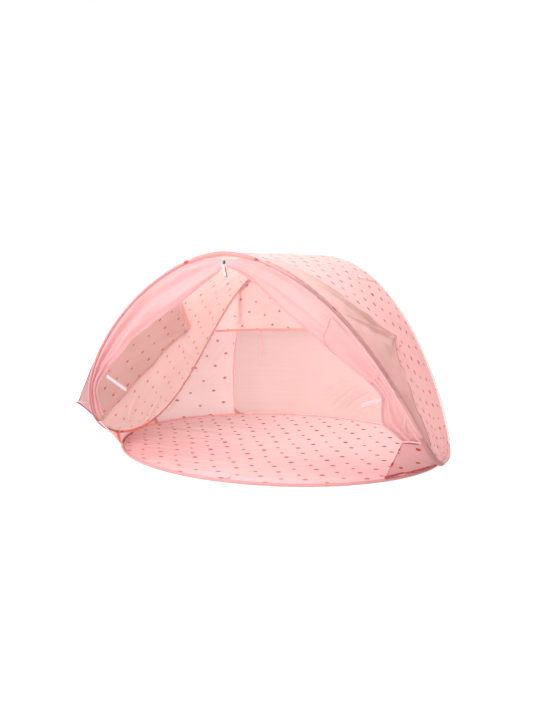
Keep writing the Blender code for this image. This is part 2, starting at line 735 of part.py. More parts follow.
# post above the cover and the elastic loop at the cover's top edge
post_c = Vector((0.0, RR[N].y + CLOTH / 2 + GAP, 0.6090))
bm = bmesh.new()
ux, uz, ny = Vector((1, 0, 0)), Vector((0, 0, 1)), Vector((0, 1, 0))
rings = [ring_of(bm, post_c + ny * h, ux, uz, r, 10) for r, h in
         [(0.0042, 0.0), (0.0042, 0.0010), (0.0016, 0.0014), (0.0016, 0.0085), (0.0011, 0.0092)]]
for a, b in zip(rings, rings[1:]):
    join(bm, a, b)
bm.faces.new(rings[0][::-1])
bm.faces.new(rings[-1])
finish(bm, "rear_cover_button", (70, 62, 64), 0.5)
bm = bmesh.new()
rings = []
for k in range(14):
    a = 2 * math.pi * k / 14
    d = ux * math.cos(a) + uz * math.sin(a)
    p = Vector((0, COVER_Y + 0.0006, 0.6090)) + d * 0.0042
    rings.append(ring_of(bm, p, d, ny, 0.0009, 6))
for k in range(14):
    join(bm, rings[k], rings[(k + 1) % 14])
finish(bm, "rear_cover_loop", (250, 235, 235), 0.8, origin=COVER_AXIS)

# ------------------------------------------------------------------ ties
def strap(name, root, tip, width, thick, rgb, origin):
    run = (tip - root)
    ax = run.normalized()
    across = ax.cross(Vector((0, 1, 0))).normalized()
    return block(name, root + run * 0.5, (run.length, thick, width), rgb, rough=0.85, origin=origin,
                 axes=(ax, Vector((0, 1, 0)), across))


for side, name, x, z, length, drop in ((1, "right", 0.4330, 0.2550, 0.058, 0.021),
                                       (-1, "left", -0.4070, 0.2710, 0.078, 0.040)):
    near = min(FR, key=lambda p: abs(p.z - z))
    other = min((p for p in FR if p is not near), key=lambda p: abs(p.z - z))
    y = near.y + (other.y - near.y) * (z - near.z) / (other.z - near.z)
    root = Vector((x, y - 0.0120, z))                        # in front of the curtain
    tip = root + Vector((-side * math.sqrt(length ** 2 - drop ** 2), 0, -drop))
    strap(name + "_curtain_tie", root, tip, 0.009, 0.0014, (252, 226, 228), origin=root)

# short hanging strap inside, at the top seam of the rear window
sx = -0.190
strap_y = SEAM_Y - CLOTH / 2 - 0.0042
block("rear_window_strap", (sx, strap_y, SEAM_Z - 0.048), (0.009, 0.0012, 0.096), (240, 170, 165),
      origin=(sx, strap_y, SEAM_Z))

# blank tag on the roof near the rear arch
tagp = wall_point(0.769, 0.78) + wall_normal(0.769, 0.78) * (CLOTH / 2 + GAP + 0.0004)
tu = (wall_point(0.769, 0.90) - wall_point(0.769, 0.70)).normalized()
tn = wall_normal(0.769, 0.78)
tv = tn.cross(tu).normalized()
block("roof_tag", tagp, (0.020, 0.012, 0.0007), (252, 248, 246), axes=(tu, tv, tn))

# lower corner of the left door flap, standing out past the arch leg
tri = []
ear_tip = Vector((-0.568, -0.315, 0.169))
for k in range(6):
    v = k / 5
    s = 0.285 + (0.500 - 0.285) * v
    i = int(round(s * N))
    h = mirror(leg(FR, s), -1)
    out = (ear_tip - h)
    t = mirror((FR[i + 1] - FR[i - 1]).normalized(), -1)
    out = (out - t * out.dot(t)).normalized()
    a = h + out * (EDGE * 1.1)
    w = 1 - abs(v - 0.18) / (0.18 if v < 0.18 else 0.82)
    w = max(w, 0.06)
    b = lerp(a, ear_tip, w)
    tri.append([lerp(a, b, j / 4) for j in range(5)])
sheet("left_flap_corner", tri, (225, 175, 175), thick=0.0012)
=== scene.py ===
"""Pop-up baby tent: the finished look of every piece round the fixed frame.
Metres, +Z up, the door faces -Y.
"""
import math

import bpy
import numpy as np
from mathutils import Matrix, Vector


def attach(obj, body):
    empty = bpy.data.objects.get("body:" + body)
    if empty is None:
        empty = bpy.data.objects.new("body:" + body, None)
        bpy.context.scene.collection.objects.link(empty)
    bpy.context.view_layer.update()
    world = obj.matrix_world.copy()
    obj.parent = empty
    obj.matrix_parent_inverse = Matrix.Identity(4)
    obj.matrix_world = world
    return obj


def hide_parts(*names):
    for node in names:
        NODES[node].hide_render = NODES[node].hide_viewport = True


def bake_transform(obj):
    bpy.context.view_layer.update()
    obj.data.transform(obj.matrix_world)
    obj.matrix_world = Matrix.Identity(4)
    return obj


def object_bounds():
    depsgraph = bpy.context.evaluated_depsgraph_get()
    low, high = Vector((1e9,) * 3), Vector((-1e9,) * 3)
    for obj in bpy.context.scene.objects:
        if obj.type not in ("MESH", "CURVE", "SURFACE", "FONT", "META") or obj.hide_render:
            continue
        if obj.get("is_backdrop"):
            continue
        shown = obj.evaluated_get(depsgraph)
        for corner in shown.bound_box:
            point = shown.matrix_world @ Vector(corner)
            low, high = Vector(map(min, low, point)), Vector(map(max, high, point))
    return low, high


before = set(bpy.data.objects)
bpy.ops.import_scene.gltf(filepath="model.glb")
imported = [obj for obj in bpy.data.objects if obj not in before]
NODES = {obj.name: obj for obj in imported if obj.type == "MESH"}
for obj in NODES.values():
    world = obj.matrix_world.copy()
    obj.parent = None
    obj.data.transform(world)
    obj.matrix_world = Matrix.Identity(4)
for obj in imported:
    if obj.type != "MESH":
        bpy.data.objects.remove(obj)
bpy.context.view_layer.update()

PI = math.pi

# ------------------------------------------------------------------ sizes
EDGE = 0.0046
FLOOR_A, FLOOR_B, FLOOR_Z = 0.540, 0.425, 0.0062
FOOT_X, FOOT_Y, FOOT_Z = 0.553, 0.020, 0.0064
FRONT = dict(top=0.634, px=1.780, pz=1.597, reach=-0.412, bend=3.506)
REAR = dict(top=0.630, px=2.580, pz=0.848, reach=0.319, bend=3.623)
SEAM_Z, SEAM_RISE = 0.340, 0.019
WINDOW_TOP_X, WINDOW_LOW_X = 0.288, 0.311


# ------------------------------------------------------------------ numbers and noise
def smooth(x):
    x = np.clip(x, 0.0, 1.0)
    return x * x * (3 - 2 * x)


def unit(v):
    return v / np.maximum(np.linalg.norm(v, axis=-1, keepdims=True), 1e-12)


def _hash(i, j, k):
    n = (i * 374761393 + j * 668265263 + k * 2147001325 + 1013904223) & 0x7FFFFFFF
    n = ((n ^ (n >> 13)) * 1274126177) & 0x7FFFFFFF
    n = n ^ (n >> 16)
    return (n & 0xFFFF) / 32767.5 - 1.0


def noise(x, y, k=0):
    """Smooth noise from -1 to 1."""
    x = np.asarray(x, float) + 100.0
    y = np.asarray(y, float) + 100.0
    x, y = np.broadcast_arrays(x, y)
    i, j = np.floor(x).astype(np.int64), np.floor(y).astype(np.int64)
    u, v = x - i, y - j
    u = u * u * u * (u * (u * 6 - 15) + 10)
    v = v * v * v * (v * (v * 6 - 15) + 10)
    a = _hash(i, j, k) * (1 - u) + _hash(i + 1, j, k) * u
    b = _hash(i, j + 1, k) * (1 - u) + _hash(i + 1, j + 1, k) * u
    return a * (1 - v) + b * v


def fbm(x, y, k=0, octaves=3):
    out, amp, f = 0.0, 1.0, 1.0
    for o in range(octaves):
        out = out + amp * noise(x * f, y * f, k + 17 * o)
        amp *= 0.5
        f *= 2.03
    return out


def fold(u, v, a, b, amp, w, taper=0.25, bow=0.0):
    """A soft crease from a to b on a cloth with coordinates u, v."""
    dx, dy = b[0] - a[0], b[1] - a[1]
    length = math.hypot(dx, dy)
    t = ((u - a[0]) * dx + (v - a[1]) * dy) / length ** 2
    d = ((u - a[0]) * dy - (v - a[1]) * dx) / length - bow * 4 * t * (1 - t)
    env = smooth(t / taper) * smooth((1 - t) / taper)
    x = d / w
    return amp * env * (np.exp(-x * x) - 0.42 * np.exp(-(np.abs(x) - 1.7) ** 2 / 0.8))


def pucker(run, dist, amp, wave, depth, k):
    """Little gathers along a seam, fading with the distance from it."""
    phase = 2.4 * noise(run / (wave * 2.3), 0.5, k)
    size = 0.55 + 0.45 * noise(run / 0.07, 3.5, k + 1)
    return amp * size * np.exp(-np.abs(dist) / depth) * np.sin(2 * PI * run / wave + phase)


# ------------------------------------------------------------------ arch curves
def half_arch(c, n=1201):
    phi = (PI / 2) * np.linspace(0, 1, 9001) ** 1.6
    s, k = np.sin(phi), np.clip(np.cos(phi), 0, None)
    x = FOOT_X * k ** (2 / c["px"])
    z = FOOT_Z + (c["top"] - FOOT_Z) * s ** (2 / c["pz"])
    w = np.clip((c["top"] - z) / (c["top"] - FOOT_Z), 0, None)
    y = FOOT_Y + c["reach"] * np.sqrt(np.clip(1 - w ** c["bend"], 0, None))
    p = np.stack([x, y, z], 1)
    p[-1, 0] = 0
    run = np.r_[0, np.cumsum(np.linalg.norm(np.diff(p, axis=0), axis=1))]
    q = np.linspace(0, run[-1], n)
    return np.stack([np.interp(q, run, p[:, i]) for i in range(3)], 1), run[-1]


LF, LEN_F = half_arch(FRONT)
LR, LEN_R = half_arch(REAR)
SIDE_LEN = (LEN_F + LEN_R) / 2
FLIP = np.array([-1.0, 1.0, 1.0])


def at(table, s):
    s = np.asarray(s, float)
    over = s > 1
    q = np.clip(np.where(over, 2 - s, s), 0, 1) * (len(table) - 1)
    i = np.minimum(q.astype(int), len(table) - 2)
    f = (q - i)[..., None]
    p = table[i] * (1 - f) + table[i + 1] * f
    return np.where(over[..., None], p * FLIP, p)


def tangent(table, s, e=0.004):
    s = np.asarray(s, float)
    return unit(at(table, s + e) - at(table, np.maximum(s - e, 0)))


def toward(table, s, target):
    t = tangent(table, s)
    d = target - at(table, s)
    return unit(d - t * (d * t).sum(-1, keepdims=True))


def y_at(z, c=FRONT):
    w = np.clip((c["top"] - z) / (c["top"] - FOOT_Z), 0, 1)
    return FOOT_Y + c["reach"] * np.sqrt(np.clip(1 - w ** c["bend"], 0, None))


def s_of_z(table, z):
    return np.interp(z, table[:, 2], np.linspace(0, 1, len(table)))


def floor_pt(angle, grow=0.0, z=FLOOR_Z):
    angle = np.asarray(angle, float)
    return np.stack([(FLOOR_A + grow) * np.cos(angle), (FLOOR_B + grow) * np.sin(angle),
                     np.full_like(angle, z)], -1)


# ------------------------------------------------------------------ meshes
def build(name, verts, faces, uvs=None, mat=None, shade=True):
    me = bpy.data.meshes.new(name)
    me.from_pydata(np.asarray(verts, float).tolist(), [], faces)
    me.validate()
    if uvs is not None:
        layer = me.uv_layers.new(name="UVMap")
        idx = np.zeros(len(me.loops), np.int32)
        me.loops.foreach_get("vertex_index", idx)
        layer.data.foreach_set("uv", np.asarray(uvs, np.float32)[idx].ravel())
    if shade:
        me.shade_smooth()
        me.set_sharp_from_angle(angle=math.radians(50))
    me.update()
    ob = bpy.data.objects.new(name, me)
    bpy.context.scene.collection.objects.link(ob)
    if mat is not None:
        me.materials.append(mat)
    return ob


def grid_faces(n, m, wrap_i=False, wrap_j=False, keep=None):
    out = []
    for i in range(n if wrap_i else n - 1):
        for j in range(m if wrap_j else m - 1):
            if keep is not None and not keep[i, j]:
                continue
            a, b = i, (i + 1) % n
            c, d = j, (j + 1) % m
            out.append((a * m + c, b * m + c, b * m + d, a * m + d))
    return out


def grid(name, p, uv, mat, keep=None, outward=None):
    """An open cloth sheet from a grid of points."""
    n, m = p.shape[:2]
    faces = grid_faces(n, m, keep=keep)
    if outward is not None:
        nn = normals(p)
        if (nn * outward).sum() < 0:
            faces = [f[::-1] for f in faces]
    verts, uvs = p.reshape(-1, 3), uv.reshape(-1, 2)
    if keep is not None:
        used = sorted({v for f in faces for v in f})
        new = {v: k for k, v in enumerate(used)}
        faces = [tuple(new[v] for v in f) for f in faces]
        verts, uvs = verts[used], uvs[used]
    return build(name, verts, faces, uvs, mat)


def normals(p):
    n = np.cross(np.gradient(p, axis=0), np.gradient(p, axis=1))
    return unit(n)


def area_of(p):
    a = p[1:, :-1] - p[:-1, :-1]
    b = p[:-1, 1:] - p[:-1, :-1]
    c = p[1:, 1:] - p[:-1, 1:]
    d = p[1:, 1:] - p[1:, :-1]
    return 0.5 * (np.linalg.norm(np.cross(a, b), axis=-1).sum()
                  + np.linalg.norm(np.cross(c, d), axis=-1).sum())


def run_of(p):
    return np.r_[0, np.cumsum(np.linalg.norm(np.diff(p, axis=0), axis=1))]


def frames_on(p, closed=False, ref=(0.0, 0.0, 1.0)):
    """Tangent and two cross directions carried along a path."""
    n = len(p)
    if closed:
        t = unit(np.roll(p, -1, 0) - np.roll(p, 1, 0))
    else:
        t = unit(np.gradient(p, axis=0))
    e1 = np.zeros_like(p)
    r = np.array(ref, float)
    if abs(t[0] @ r) > 0.95:
        r = np.array([1.0, 0, 0])
    for i in range(n):
        r = r - t[i] * (r @ t[i])
        r = r / np.linalg.norm(r)
        e1[i] = r
    e2 = np.cross(t, e1)
    if closed:
        d = e1[-1] - t[0] * (e1[-1] @ t[0])
        twist = math.atan2(d @ e2[0], d @ e1[0])
        a = (-twist * np.arange(n) / n)[:, None]
        e1, e2 = e1 * np.cos(a) + e2 * np.sin(a), e2 * np.cos(a) - e1 * np.sin(a)
    return t, e1, e2


def sweep(name, p, e1, e2, prof, mat, closed=False, size=None, lift=None):
    """A closed solid: the profile, a ring of (along e1, along e2), carried along p."""
    prof = np.asarray(prof, float)
    n, m = len(p), len(prof)
    sz = np.ones((n, 1)) if size is None else np.asarray(size, float).reshape(n, -1)
    if sz.shape[1] == 1:
        sz = np.repeat(sz, m, 1)
    ring = (p[:, None] + e1[:, None] * (prof[None, :, 0] * sz)[..., None]
            + e2[:, None] * (prof[None, :, 1] * sz)[..., None])
    if lift is not None:
        ring = lift(ring)
    faces = grid_faces(n, m, wrap_i=closed, wrap_j=True)
    verts = ring.reshape(-1, 3)
    run = run_of(p)
    around = np.r_[0, np.cumsum(np.linalg.norm(np.diff(prof, axis=0), axis=1))]
    uv = np.stack(np.broadcast_arrays(run[:, None], around[None, :]), -1).reshape(-1, 2)
    if not closed:
        faces.append(tuple(range(m))[::-1])
        faces.append(tuple((n - 1) * m + k for k in range(m)))
    t = np.cross(e1[n // 2], e2[n // 2])
    turn = 0.0
    for k in range(m):
        a, b = prof[k], prof[(k + 1) % m]
        turn += a[0] * b[1] - a[1] * b[0]
    along = p[min(n // 2 + 1, n - 1)] - p[n // 2 - 1]
    if turn * (t @ along) > 0:
        faces = [f[::-1] for f in faces]
    return build(name, verts, faces, uv, mat)


def circle(r, sides=12):
    return [(r * math.cos(2 * PI * k / sides), r * math.sin(2 * PI * k / sides)) for k in range(sides)]


def flat(w, t):
    """Rounded section of a flat strap: w along e1, t along e2."""
    c = t * 0.45
    return [(-w / 2 + c, -t / 2), (0, -t / 2), (w / 2 - c, -t / 2), (w / 2, 0), (w / 2 - c, t / 2), (0, t / 2),
            (-w / 2 + c, t / 2), (-w / 2, 0)]


def tube(name, p, r, mat, sides=12, closed=False, rough=0.0, k=0, low=None, ref=(0, 0, 1)):
    """A fabric casing with small gathers; low keeps it off the ground."""
    t, e1, e2 = frames_on(p, closed, ref)
    run = run_of(p)
    a = np.arange(sides) * 2 * PI / sides
    r = np.broadcast_to(np.asarray(r, float), (len(p),))
    if closed:
        total = run[-1] + np.linalg.norm(p[0] - p[-1])
        cyc = run / total
        wob = 0.6 * noise(40 + 3 * np.cos(2 * PI * cyc)[:, None] * total / 0.02 / 6.28,
                          40 + 3 * np.sin(2 * PI * cyc)[:, None] * total / 0.02 / 6.28 + a[None, :], k)
    else:
        wob = 0.6 * noise(run[:, None] / 0.011, a[None, :] * 1.1, k) + 0.4 * noise(run[:, None] / 0.045, 7.5, k + 5)
    size = 1 + rough * wob
    prof = circle(1.0, sides)
    fn = None
    if low is not None:
        def fn(ring):
            ring = ring.copy()
            ring[..., 2] = np.maximum(ring[..., 2], low)
            return ring
    return sweep(name, p, e1, e2, prof, mat, closed, size=size * r[:, None], lift=fn)


# ------------------------------------------------------------------ materials
GAIN = 0.80


def lin(rgb, gain=1.0):
    return tuple(gain * ((c / 255.0) / 12.92 if c / 255.0 <= 0.04045 else ((c / 255.0 + 0.055) / 1.055) ** 2.4)
                 for c in rgb) + (1.0,)


class Nodes:
    def __init__(self, name):
        self.mat = bpy.data.materials.new(name)
        self.mat.use_nodes = True
        self.nt = self.mat.node_tree
        self.nt.nodes.clear()

    def add(self, kind, **props):
        n = self.nt.nodes.new(kind)
        for k, v in props.items():
            setattr(n, k, v)
        return n

    def put(self, node, key, val):
        if isinstance(val, bpy.types.NodeSocket):
            self.nt.links.new(val, node.inputs[key])
        else:
            node.inputs[key].default_value = val
        return node

    def math(self, op, a, b=None, c=None):
        n = self.add("ShaderNodeMath", operation=op)
        for k, v in enumerate((a, b, c)):
            if v is not None:
                self.put(n, k, v)
        return n.outputs[0]

    def mix(self, fac, a, b, how="MIX"):
        n = self.add("ShaderNodeMix", data_type="RGBA", blend_type=how)
        self.put(n, 0, fac)
        self.put(n, 6, a)
        self.put(n, 7, b)
        return n.outputs[2]

    def ramp(self, x, lo, hi, a=0.0, b=1.0, how="SMOOTHSTEP"):
        n = self.add("ShaderNodeMapRange", interpolation_type=how)
        for k, v in zip(("Value", "From Min", "From Max", "To Min", "To Max"), (x, lo, hi, a, b)):
            self.put(n, k, v)
        return n.outputs[0]

    def noise(self, vec, scale, detail=2.0, rough=0.5, dist=0.0):
        n = self.add("ShaderNodeTexNoise")
        for k, v in (("Vector", vec), ("Scale", scale), ("Detail", detail), ("Roughness", rough), ("Distortion", dist)):
            self.put(n, k, v)
        return n.outputs["Fac"]

    def scaled(self, vec, s, off=(0, 0, 0)):
        n = self.add("ShaderNodeMapping")
        self.put(n, "Vector", vec)
        n.inputs["Scale"].default_value = s
        n.inputs["Location"].default_value = off
        return n.outputs[0]

    def uv(self):
        return self.add("ShaderNodeUVMap", uv_map="UVMap").outputs[0]

    def xy(self, vec):
        n = self.add("ShaderNodeSeparateXYZ")
        self.put(n, 0, vec)
        return n.outputs[0], n.outputs[1]

    def out(self, shader):
        o = self.add("ShaderNodeOutputMaterial")
        self.nt.links.new(shader, o.inputs[0])
        return self.mat

    def shader_mix(self, fac, a, b):
        n = self.add("ShaderNodeMixShader")
        self.put(n, 0, fac)
        self.nt.links.new(a, n.inputs[1])
        self.nt.links.new(b, n.inputs[2])
        return n.outputs[0]


DOT_P, DOT_Q = 0.130, 0.133     # the print repeats over this width and height
DOTS = ((0.0, 0.0, 1), (0.0655, -0.0170, 0), (-0.0335, -0.0665, 1), (0.0325, -0.0835, 0))   # place, large or small


def dot_mask(N, uv, big=0.0056, small=0.0043, soft=0.0007):
    """Printed dots, large and small by turns along each row, each row set off from the next."""
    x, y = N.xy(uv)
    x = N.math("ADD", x, N.math("MULTIPLY", N.math("SUBTRACT", N.noise(uv, 11.0, 0.0), 0.5), 0.0050))
    y = N.math("ADD", y, N.math("MULTIPLY", N.math("SUBTRACT", N.noise(N.scaled(uv, (1, 1, 1), (3.1, 7.7, 0)), 11.0, 0.0), 0.5),
                                0.0050))
    rag = N.math("MULTIPLY", N.math("SUBTRACT", N.noise(uv, 420.0, 2.0), 0.5), 0.0012)
    best = None
    for ox, oy, large in DOTS:
        fx = N.math("WRAP", N.math("SUBTRACT", x, ox), DOT_P / 2, -DOT_P / 2)
        fy = N.math("WRAP", N.math("SUBTRACT", y, oy), DOT_Q / 2, -DOT_Q / 2)
        d = N.math("SQRT", N.math("ADD", N.math("MULTIPLY", fx, fx), N.math("MULTIPLY", fy, fy)))
        d = N.math("SUBTRACT", d, big if large else small)
        best = d if best is None else N.math("MINIMUM", best, d)
    mask = N.ramp(N.math("ADD", best, rag), -soft, soft, 1.0, 0.0)
    # ink is a little uneven from dot to dot
    ink = N.math("ADD", 0.86, N.math("MULTIPLY", N.noise(uv, 23.0, 0.0), 0.20))
    return N.math("MULTIPLY", mask, ink)


def printed(u, v, mid, rows, lo, hi):
    """Where the print lies on a panel: a slightly bent map of the panel's own run, straight outside lo..hi."""
    a, b = u - mid[0], v - mid[1]
    ca, cb = np.clip(a, lo[0], hi[0]), np.clip(b, lo[1], hi[1])
    terms = (1 + 0 * ca, ca, cb, ca * ca, ca * cb, cb * cb, ca ** 3, ca * ca * cb, ca * cb * cb, cb ** 3)
    out = sum(t[..., None] * np.array(r, float) for t, r in zip(terms, rows))
    return out + (a - ca)[..., None] * np.array(rows[1], float) + (b - cb)[..., None] * np.array(rows[2], float)


PRINT = {
    "right_wall": ((0.88, -0.05), ((0.00567, 0.01374), (1.04787, 0.21794), (0.01646, 1.35032), (-0.14949, 1.96678),
                                   (0.21113, -0.39484), (-0.21603, -1.00413), (-0.40, 2.92874), (0.449, -0.47229),
                                   (0.15204, 1.32411), (0.25801, 0.90273)), (-0.55, -0.10), (0.09, 0.33)),
    "left_wall": ((0.58, 0.03), ((0.05399, 0.02298), (0.96217, -0.00318), (0.04747, 1.14148), (-0.06058, 0.75781),
                                 (-0.10098, -0.14758), (-0.15408, 0.28696), (-0.48388, 0.53525), (-0.00895, 0.76285),
                                 (0.03731, -0.73205), (0.0322, 0.29266)), (-0.35, -0.28), (0.22, 0.26)),
    "rear_low": ((-0.38, -0.20), ((0.12467, 0.04611), (-0.89261, -0.0342), (0.05896, 1.36523)), (-9, -9), (9, 9)),
    "rear_up": ((-0.20, 0.42), ((0.04302, 0.00258), (1.04093, -0.07716), (0.08353, 1.30731)), (-9, -9), (9, 9)),
    "mat": ((0.12, 0.0), ((-0.00137, 0.11559), (1.01315, -0.065), (0.03028, 1.15364), (-0.03254, 0.13139),
                          (0.0148, 0.10442), (0.17352, -0.39681), (-0.0073, 0.32695), (-0.41368, 1.53777),
                          (-0.04893, -0.03545), (0.22478, -0.28668)), (-0.62, -0.42), (0.28, 0.28)),
}


def cloth(name, base, shine=None, dots=None, trans=0.35, net=0.0, rough=0.78, vary=0.05, weave=0.0010, bump=0.35,
          sheen=0.12, stripe=0.0, big=0.0056, small=0.0043, grain=0.02, soft=0.0007, painted_light_ramps=(), gain=GAIN):
    """Thin woven fabric: light scatters off it and through it.
    base and shine: colour by reflected and by passing light; dots: their colour; net: share of see-through holes."""
    N = Nodes(name)
    uv = N.uv()
    b, s = lin(base, gain), lin(shine or base, gain)
    slow = N.noise(uv, 7.0, 3.0, 0.55)
    thread = N.noise(N.scaled(uv, (40.0, 900.0, 1.0)), 1.0, 2.0)
    thread2 = N.noise(N.scaled(uv, (900.0, 40.0, 1.0)), 1.0, 2.0)
    tone = N.math("ADD", N.ramp(slow, 0.25, 0.75, -vary, vary, "LINEAR"),
                  N.math("ADD", N.ramp(thread, 0.2, 0.8, -grain, grain, "LINEAR"),
                         N.ramp(thread2, 0.2, 0.8, -grain, grain, "LINEAR")))
    if stripe:
        band = N.noise(N.scaled(uv, (3.0, 160.0, 1.0)), 1.0, 1.0)
        tone = N.math("ADD", tone, N.ramp(band, 0.3, 0.7, -stripe, stripe, "LINEAR"))
    # painted light and shade: each ramp lightens or darkens the cloth along one UV axis, standing in for how the light
    # falls on the piece
    for axis, a, z, lo, hi in painted_light_ramps:
        tone = N.math("ADD", tone, N.ramp(N.xy(uv)[axis], a, z, lo, hi))
    level = N.math("ADD", 1.0, tone)

    def toned(c):
        n = N.add("ShaderNodeMix", data_type="RGBA", blend_type="MULTIPLY", clamp_result=True)
        N.put(n, 0, 1.0)
        N.put(n, 6, c)
        g = N.add("ShaderNodeCombineColor")
        for k, e in enumerate((0.35, 1.0, 1.0)):
            N.put(g, k, N.math("POWER", level, e))
        N.put(n, 7, g.outputs[0])
        return n.outputs[2]

    cb, cs = toned(b), toned(s)
    if dots is not None:
        mask = dot_mask(N, uv, big, small, soft=soft)
        cb = N.mix(mask, cb, lin(dots, GAIN))
        cs = N.mix(mask, cs, lin(tuple(c * 0.93 for c in dots), GAIN))
    x, y = N.xy(uv)
    wx = N.math("SINE", N.math("MULTIPLY", x, 2 * PI / weave))
    wy = N.math("SINE", N.math("MULTIPLY", y, 2 * PI / weave))
    height = N.math("ADD", N.math("MULTIPLY", wx, wy), N.math("MULTIPLY", N.math("ADD", thread, thread2), 1.6))
    bp = N.add("ShaderNodeBump")
    N.put(bp, "Height", height)
    bp.inputs["Strength"].default_value = bump
    bp.inputs["Distance"].default_value = 0.00012
    pr = N.add("ShaderNodeBsdfPrincipled")
    N.put(pr, "Base Color", cb)
    N.put(pr, "Normal", bp.outputs[0])
    N.put(pr, "Roughness", N.math("ADD", rough, N.math("MULTIPLY", tone, 0.8)))
    pr.inputs["Specular IOR Level"].default_value = 0.22
    pr.inputs["Sheen Weight"].default_value = sheen
    pr.inputs["Sheen Roughness"].default_value = 0.45
    tl = N.add("ShaderNodeBsdfTranslucent")
    N.put(tl, "Color", cs)
    sh = N.shader_mix(trans, pr.outputs[0], tl.outputs[0])
    if net:
        # fine net: threads both ways with small holes between them
        pitch = 0.0014
        gx = N.math("ABSOLUTE", N.math("SINE", N.math("MULTIPLY", x, PI / pitch)))
        gy = N.math("ABSOLUTE", N.math("SINE", N.math("MULTIPLY", y, PI / pitch)))
        hole = N.math("MULTIPLY", gx, gy)
        clear = N.ramp(hole, 0.15, 0.75, net * 0.45, min(net * 1.8, 1.0))
        tr = N.add("ShaderNodeBsdfTransparent")
        sh = N.shader_mix(clear, sh, tr.outputs[0])
    return N.out(sh)


def tape(name, base, trans=0.12, rib=0.0009, rough=0.7, sheen=0.2, vary=0.06, clear=0.0, dots=None, gain=GAIN, sheer=None):
    """Woven tape or hem: fine ribs across its length. sheer: a stretch (from, to, share) where it is see-through."""
    N = Nodes(name)
    uv = N.uv()
    x, y = N.xy(uv)
    b = lin(base, gain)
    slow = N.noise(uv, 24.0, 3.0)
    ribs = N.math("SINE", N.math("MULTIPLY", x, 2 * PI / rib))
    fine = N.noise(N.scaled(uv, (300.0, 1400.0, 1.0)), 1.0, 2.0)
    tone = N.math("ADD", 1.0, N.math("ADD", N.ramp(slow, 0.25, 0.75, -vary, vary, "LINEAR"),
                                     N.ramp(fine, 0.2, 0.8, -0.06, 0.06, "LINEAR")))
    g = N.add("ShaderNodeCombineColor")
    for k in range(3):
        N.put(g, k, tone)
    col = N.mix(1.0, b, g.outputs[0], "MULTIPLY")
    if dots is not None:
        col = N.mix(dot_mask(N, uv, 0.0052, 0.0040), col, lin(dots))
    bp = N.add("ShaderNodeBump")
    N.put(bp, "Height", N.math("ADD", ribs, N.math("MULTIPLY", fine, 2.0)))
    bp.inputs["Strength"].default_value = 0.5
    bp.inputs["Distance"].default_value = 0.00012
    pr = N.add("ShaderNodeBsdfPrincipled")
    N.put(pr, "Base Color", col)
    N.put(pr, "Normal", bp.outputs[0])
    N.put(pr, "Roughness", N.math("ADD", rough, N.math("MULTIPLY", N.math("SUBTRACT", fine, 0.5), 0.2)))
    pr.inputs["Specular IOR Level"].default_value = 0.25
    pr.inputs["Sheen Weight"].default_value = sheen
    pr.inputs["Sheen Roughness"].default_value = 0.4
    tl = N.add("ShaderNodeBsdfTranslucent")
    N.put(tl, "Color", col)
    sh = N.shader_mix(trans, pr.outputs[0], tl.outputs[0])
    if sheer:
        a, b, share = sheer
        clear = N.math("ADD", clear, N.math("MULTIPLY", N.ramp(x, a - 0.06, a + 0.06, 0.0, share), N.ramp(x, b - 0.06, b + 0.06, 1.0, 0.0)))
    if sheer or clear:
        tr = N.add("ShaderNodeBsdfTransparent")
        sh = N.shader_mix(clear, sh, tr.outputs[0])
    return N.out(sh)


def hard(name, base, metallic, rough, scratch=0.15, scale=1800.0, bump=0.2):
    """Metal or moulded plastic with fine wear; runs on object coordinates."""
    N = Nodes(name)
    co = N.add("ShaderNodeTexCoord").outputs["Object"]
    big = N.noise(co, scale * 0.12, 3.0)
    fine = N.noise(N.scaled(co, (scale, scale, scale * 0.2)), 1.0, 3.0)
    b = lin(base)
    worn = tuple(min(1.0, c * 1.7 + 0.03) for c in b[:3]) + (1.0,)
    col = N.mix(N.ramp(big, 0.55, 0.75, 0.0, scratch), b, worn)
    bp = N.add("ShaderNodeBump")
    N.put(bp, "Height", fine)
    bp.inputs["Strength"].default_value = bump
    bp.inputs["Distance"].default_value = 0.00005
    pr = N.add("ShaderNodeBsdfPrincipled")
    N.put(pr, "Base Color", col)
    N.put(pr, "Metallic", metallic)
    N.put(pr, "Roughness", N.ramp(fine, 0.2, 0.8, max(rough - 0.08, 0.05), rough + 0.1, "LINEAR"))
    N.put(pr, "Normal", bp.outputs[0])
    return N.out(pr.outputs[0])


DOT = (190, 98, 92)
# painted light and shade: the right wall's ramp darkens it toward the foot and lightens it toward the ridge; the left
# wall's ramp darkens its lower part and fades out toward the ridge
M_WALL_R = cloth("right_wall_cloth", (210, 156, 154), (248, 222, 218), dots=(178, 52, 50), trans=0.42, big=0.0084, small=0.0065,
                 painted_light_ramps=((0, -0.45, 0.15, -0.16, 0.18),))
M_WALL_L = cloth("left_wall_cloth", (202, 156, 150), (230, 198, 191), dots=DOT, trans=0.44, big=0.0060, small=0.0046,
                 painted_light_ramps=((0, 0.05, 0.45, -0.12, 0.0),))
M_REAR = cloth("rear_panel_cloth", (230, 180, 178), (248, 214, 211), dots=(206, 118, 110), trans=0.57, stripe=0.015,
               big=0.0056, small=0.0045)
M_REAR_UP = cloth("rear_upper_cloth", (250, 192, 188), (254, 212, 207), dots=(232, 134, 122), trans=0.78, stripe=0.015,
                  big=0.0056, small=0.0045)
M_COVER = cloth("window_cover_cloth", (250, 222, 218), (255, 249, 247), trans=0.90, gain=1.0)
# painted shade: the window net's ramp darkens it along its -X edge
M_WINDOW = cloth("window_net", (222, 172, 164), (212, 156, 149), trans=0.45, net=0.14, stripe=0.03, vary=0.04,
                 painted_light_ramps=((0, -0.30, -0.19, -0.08, 0.0),))
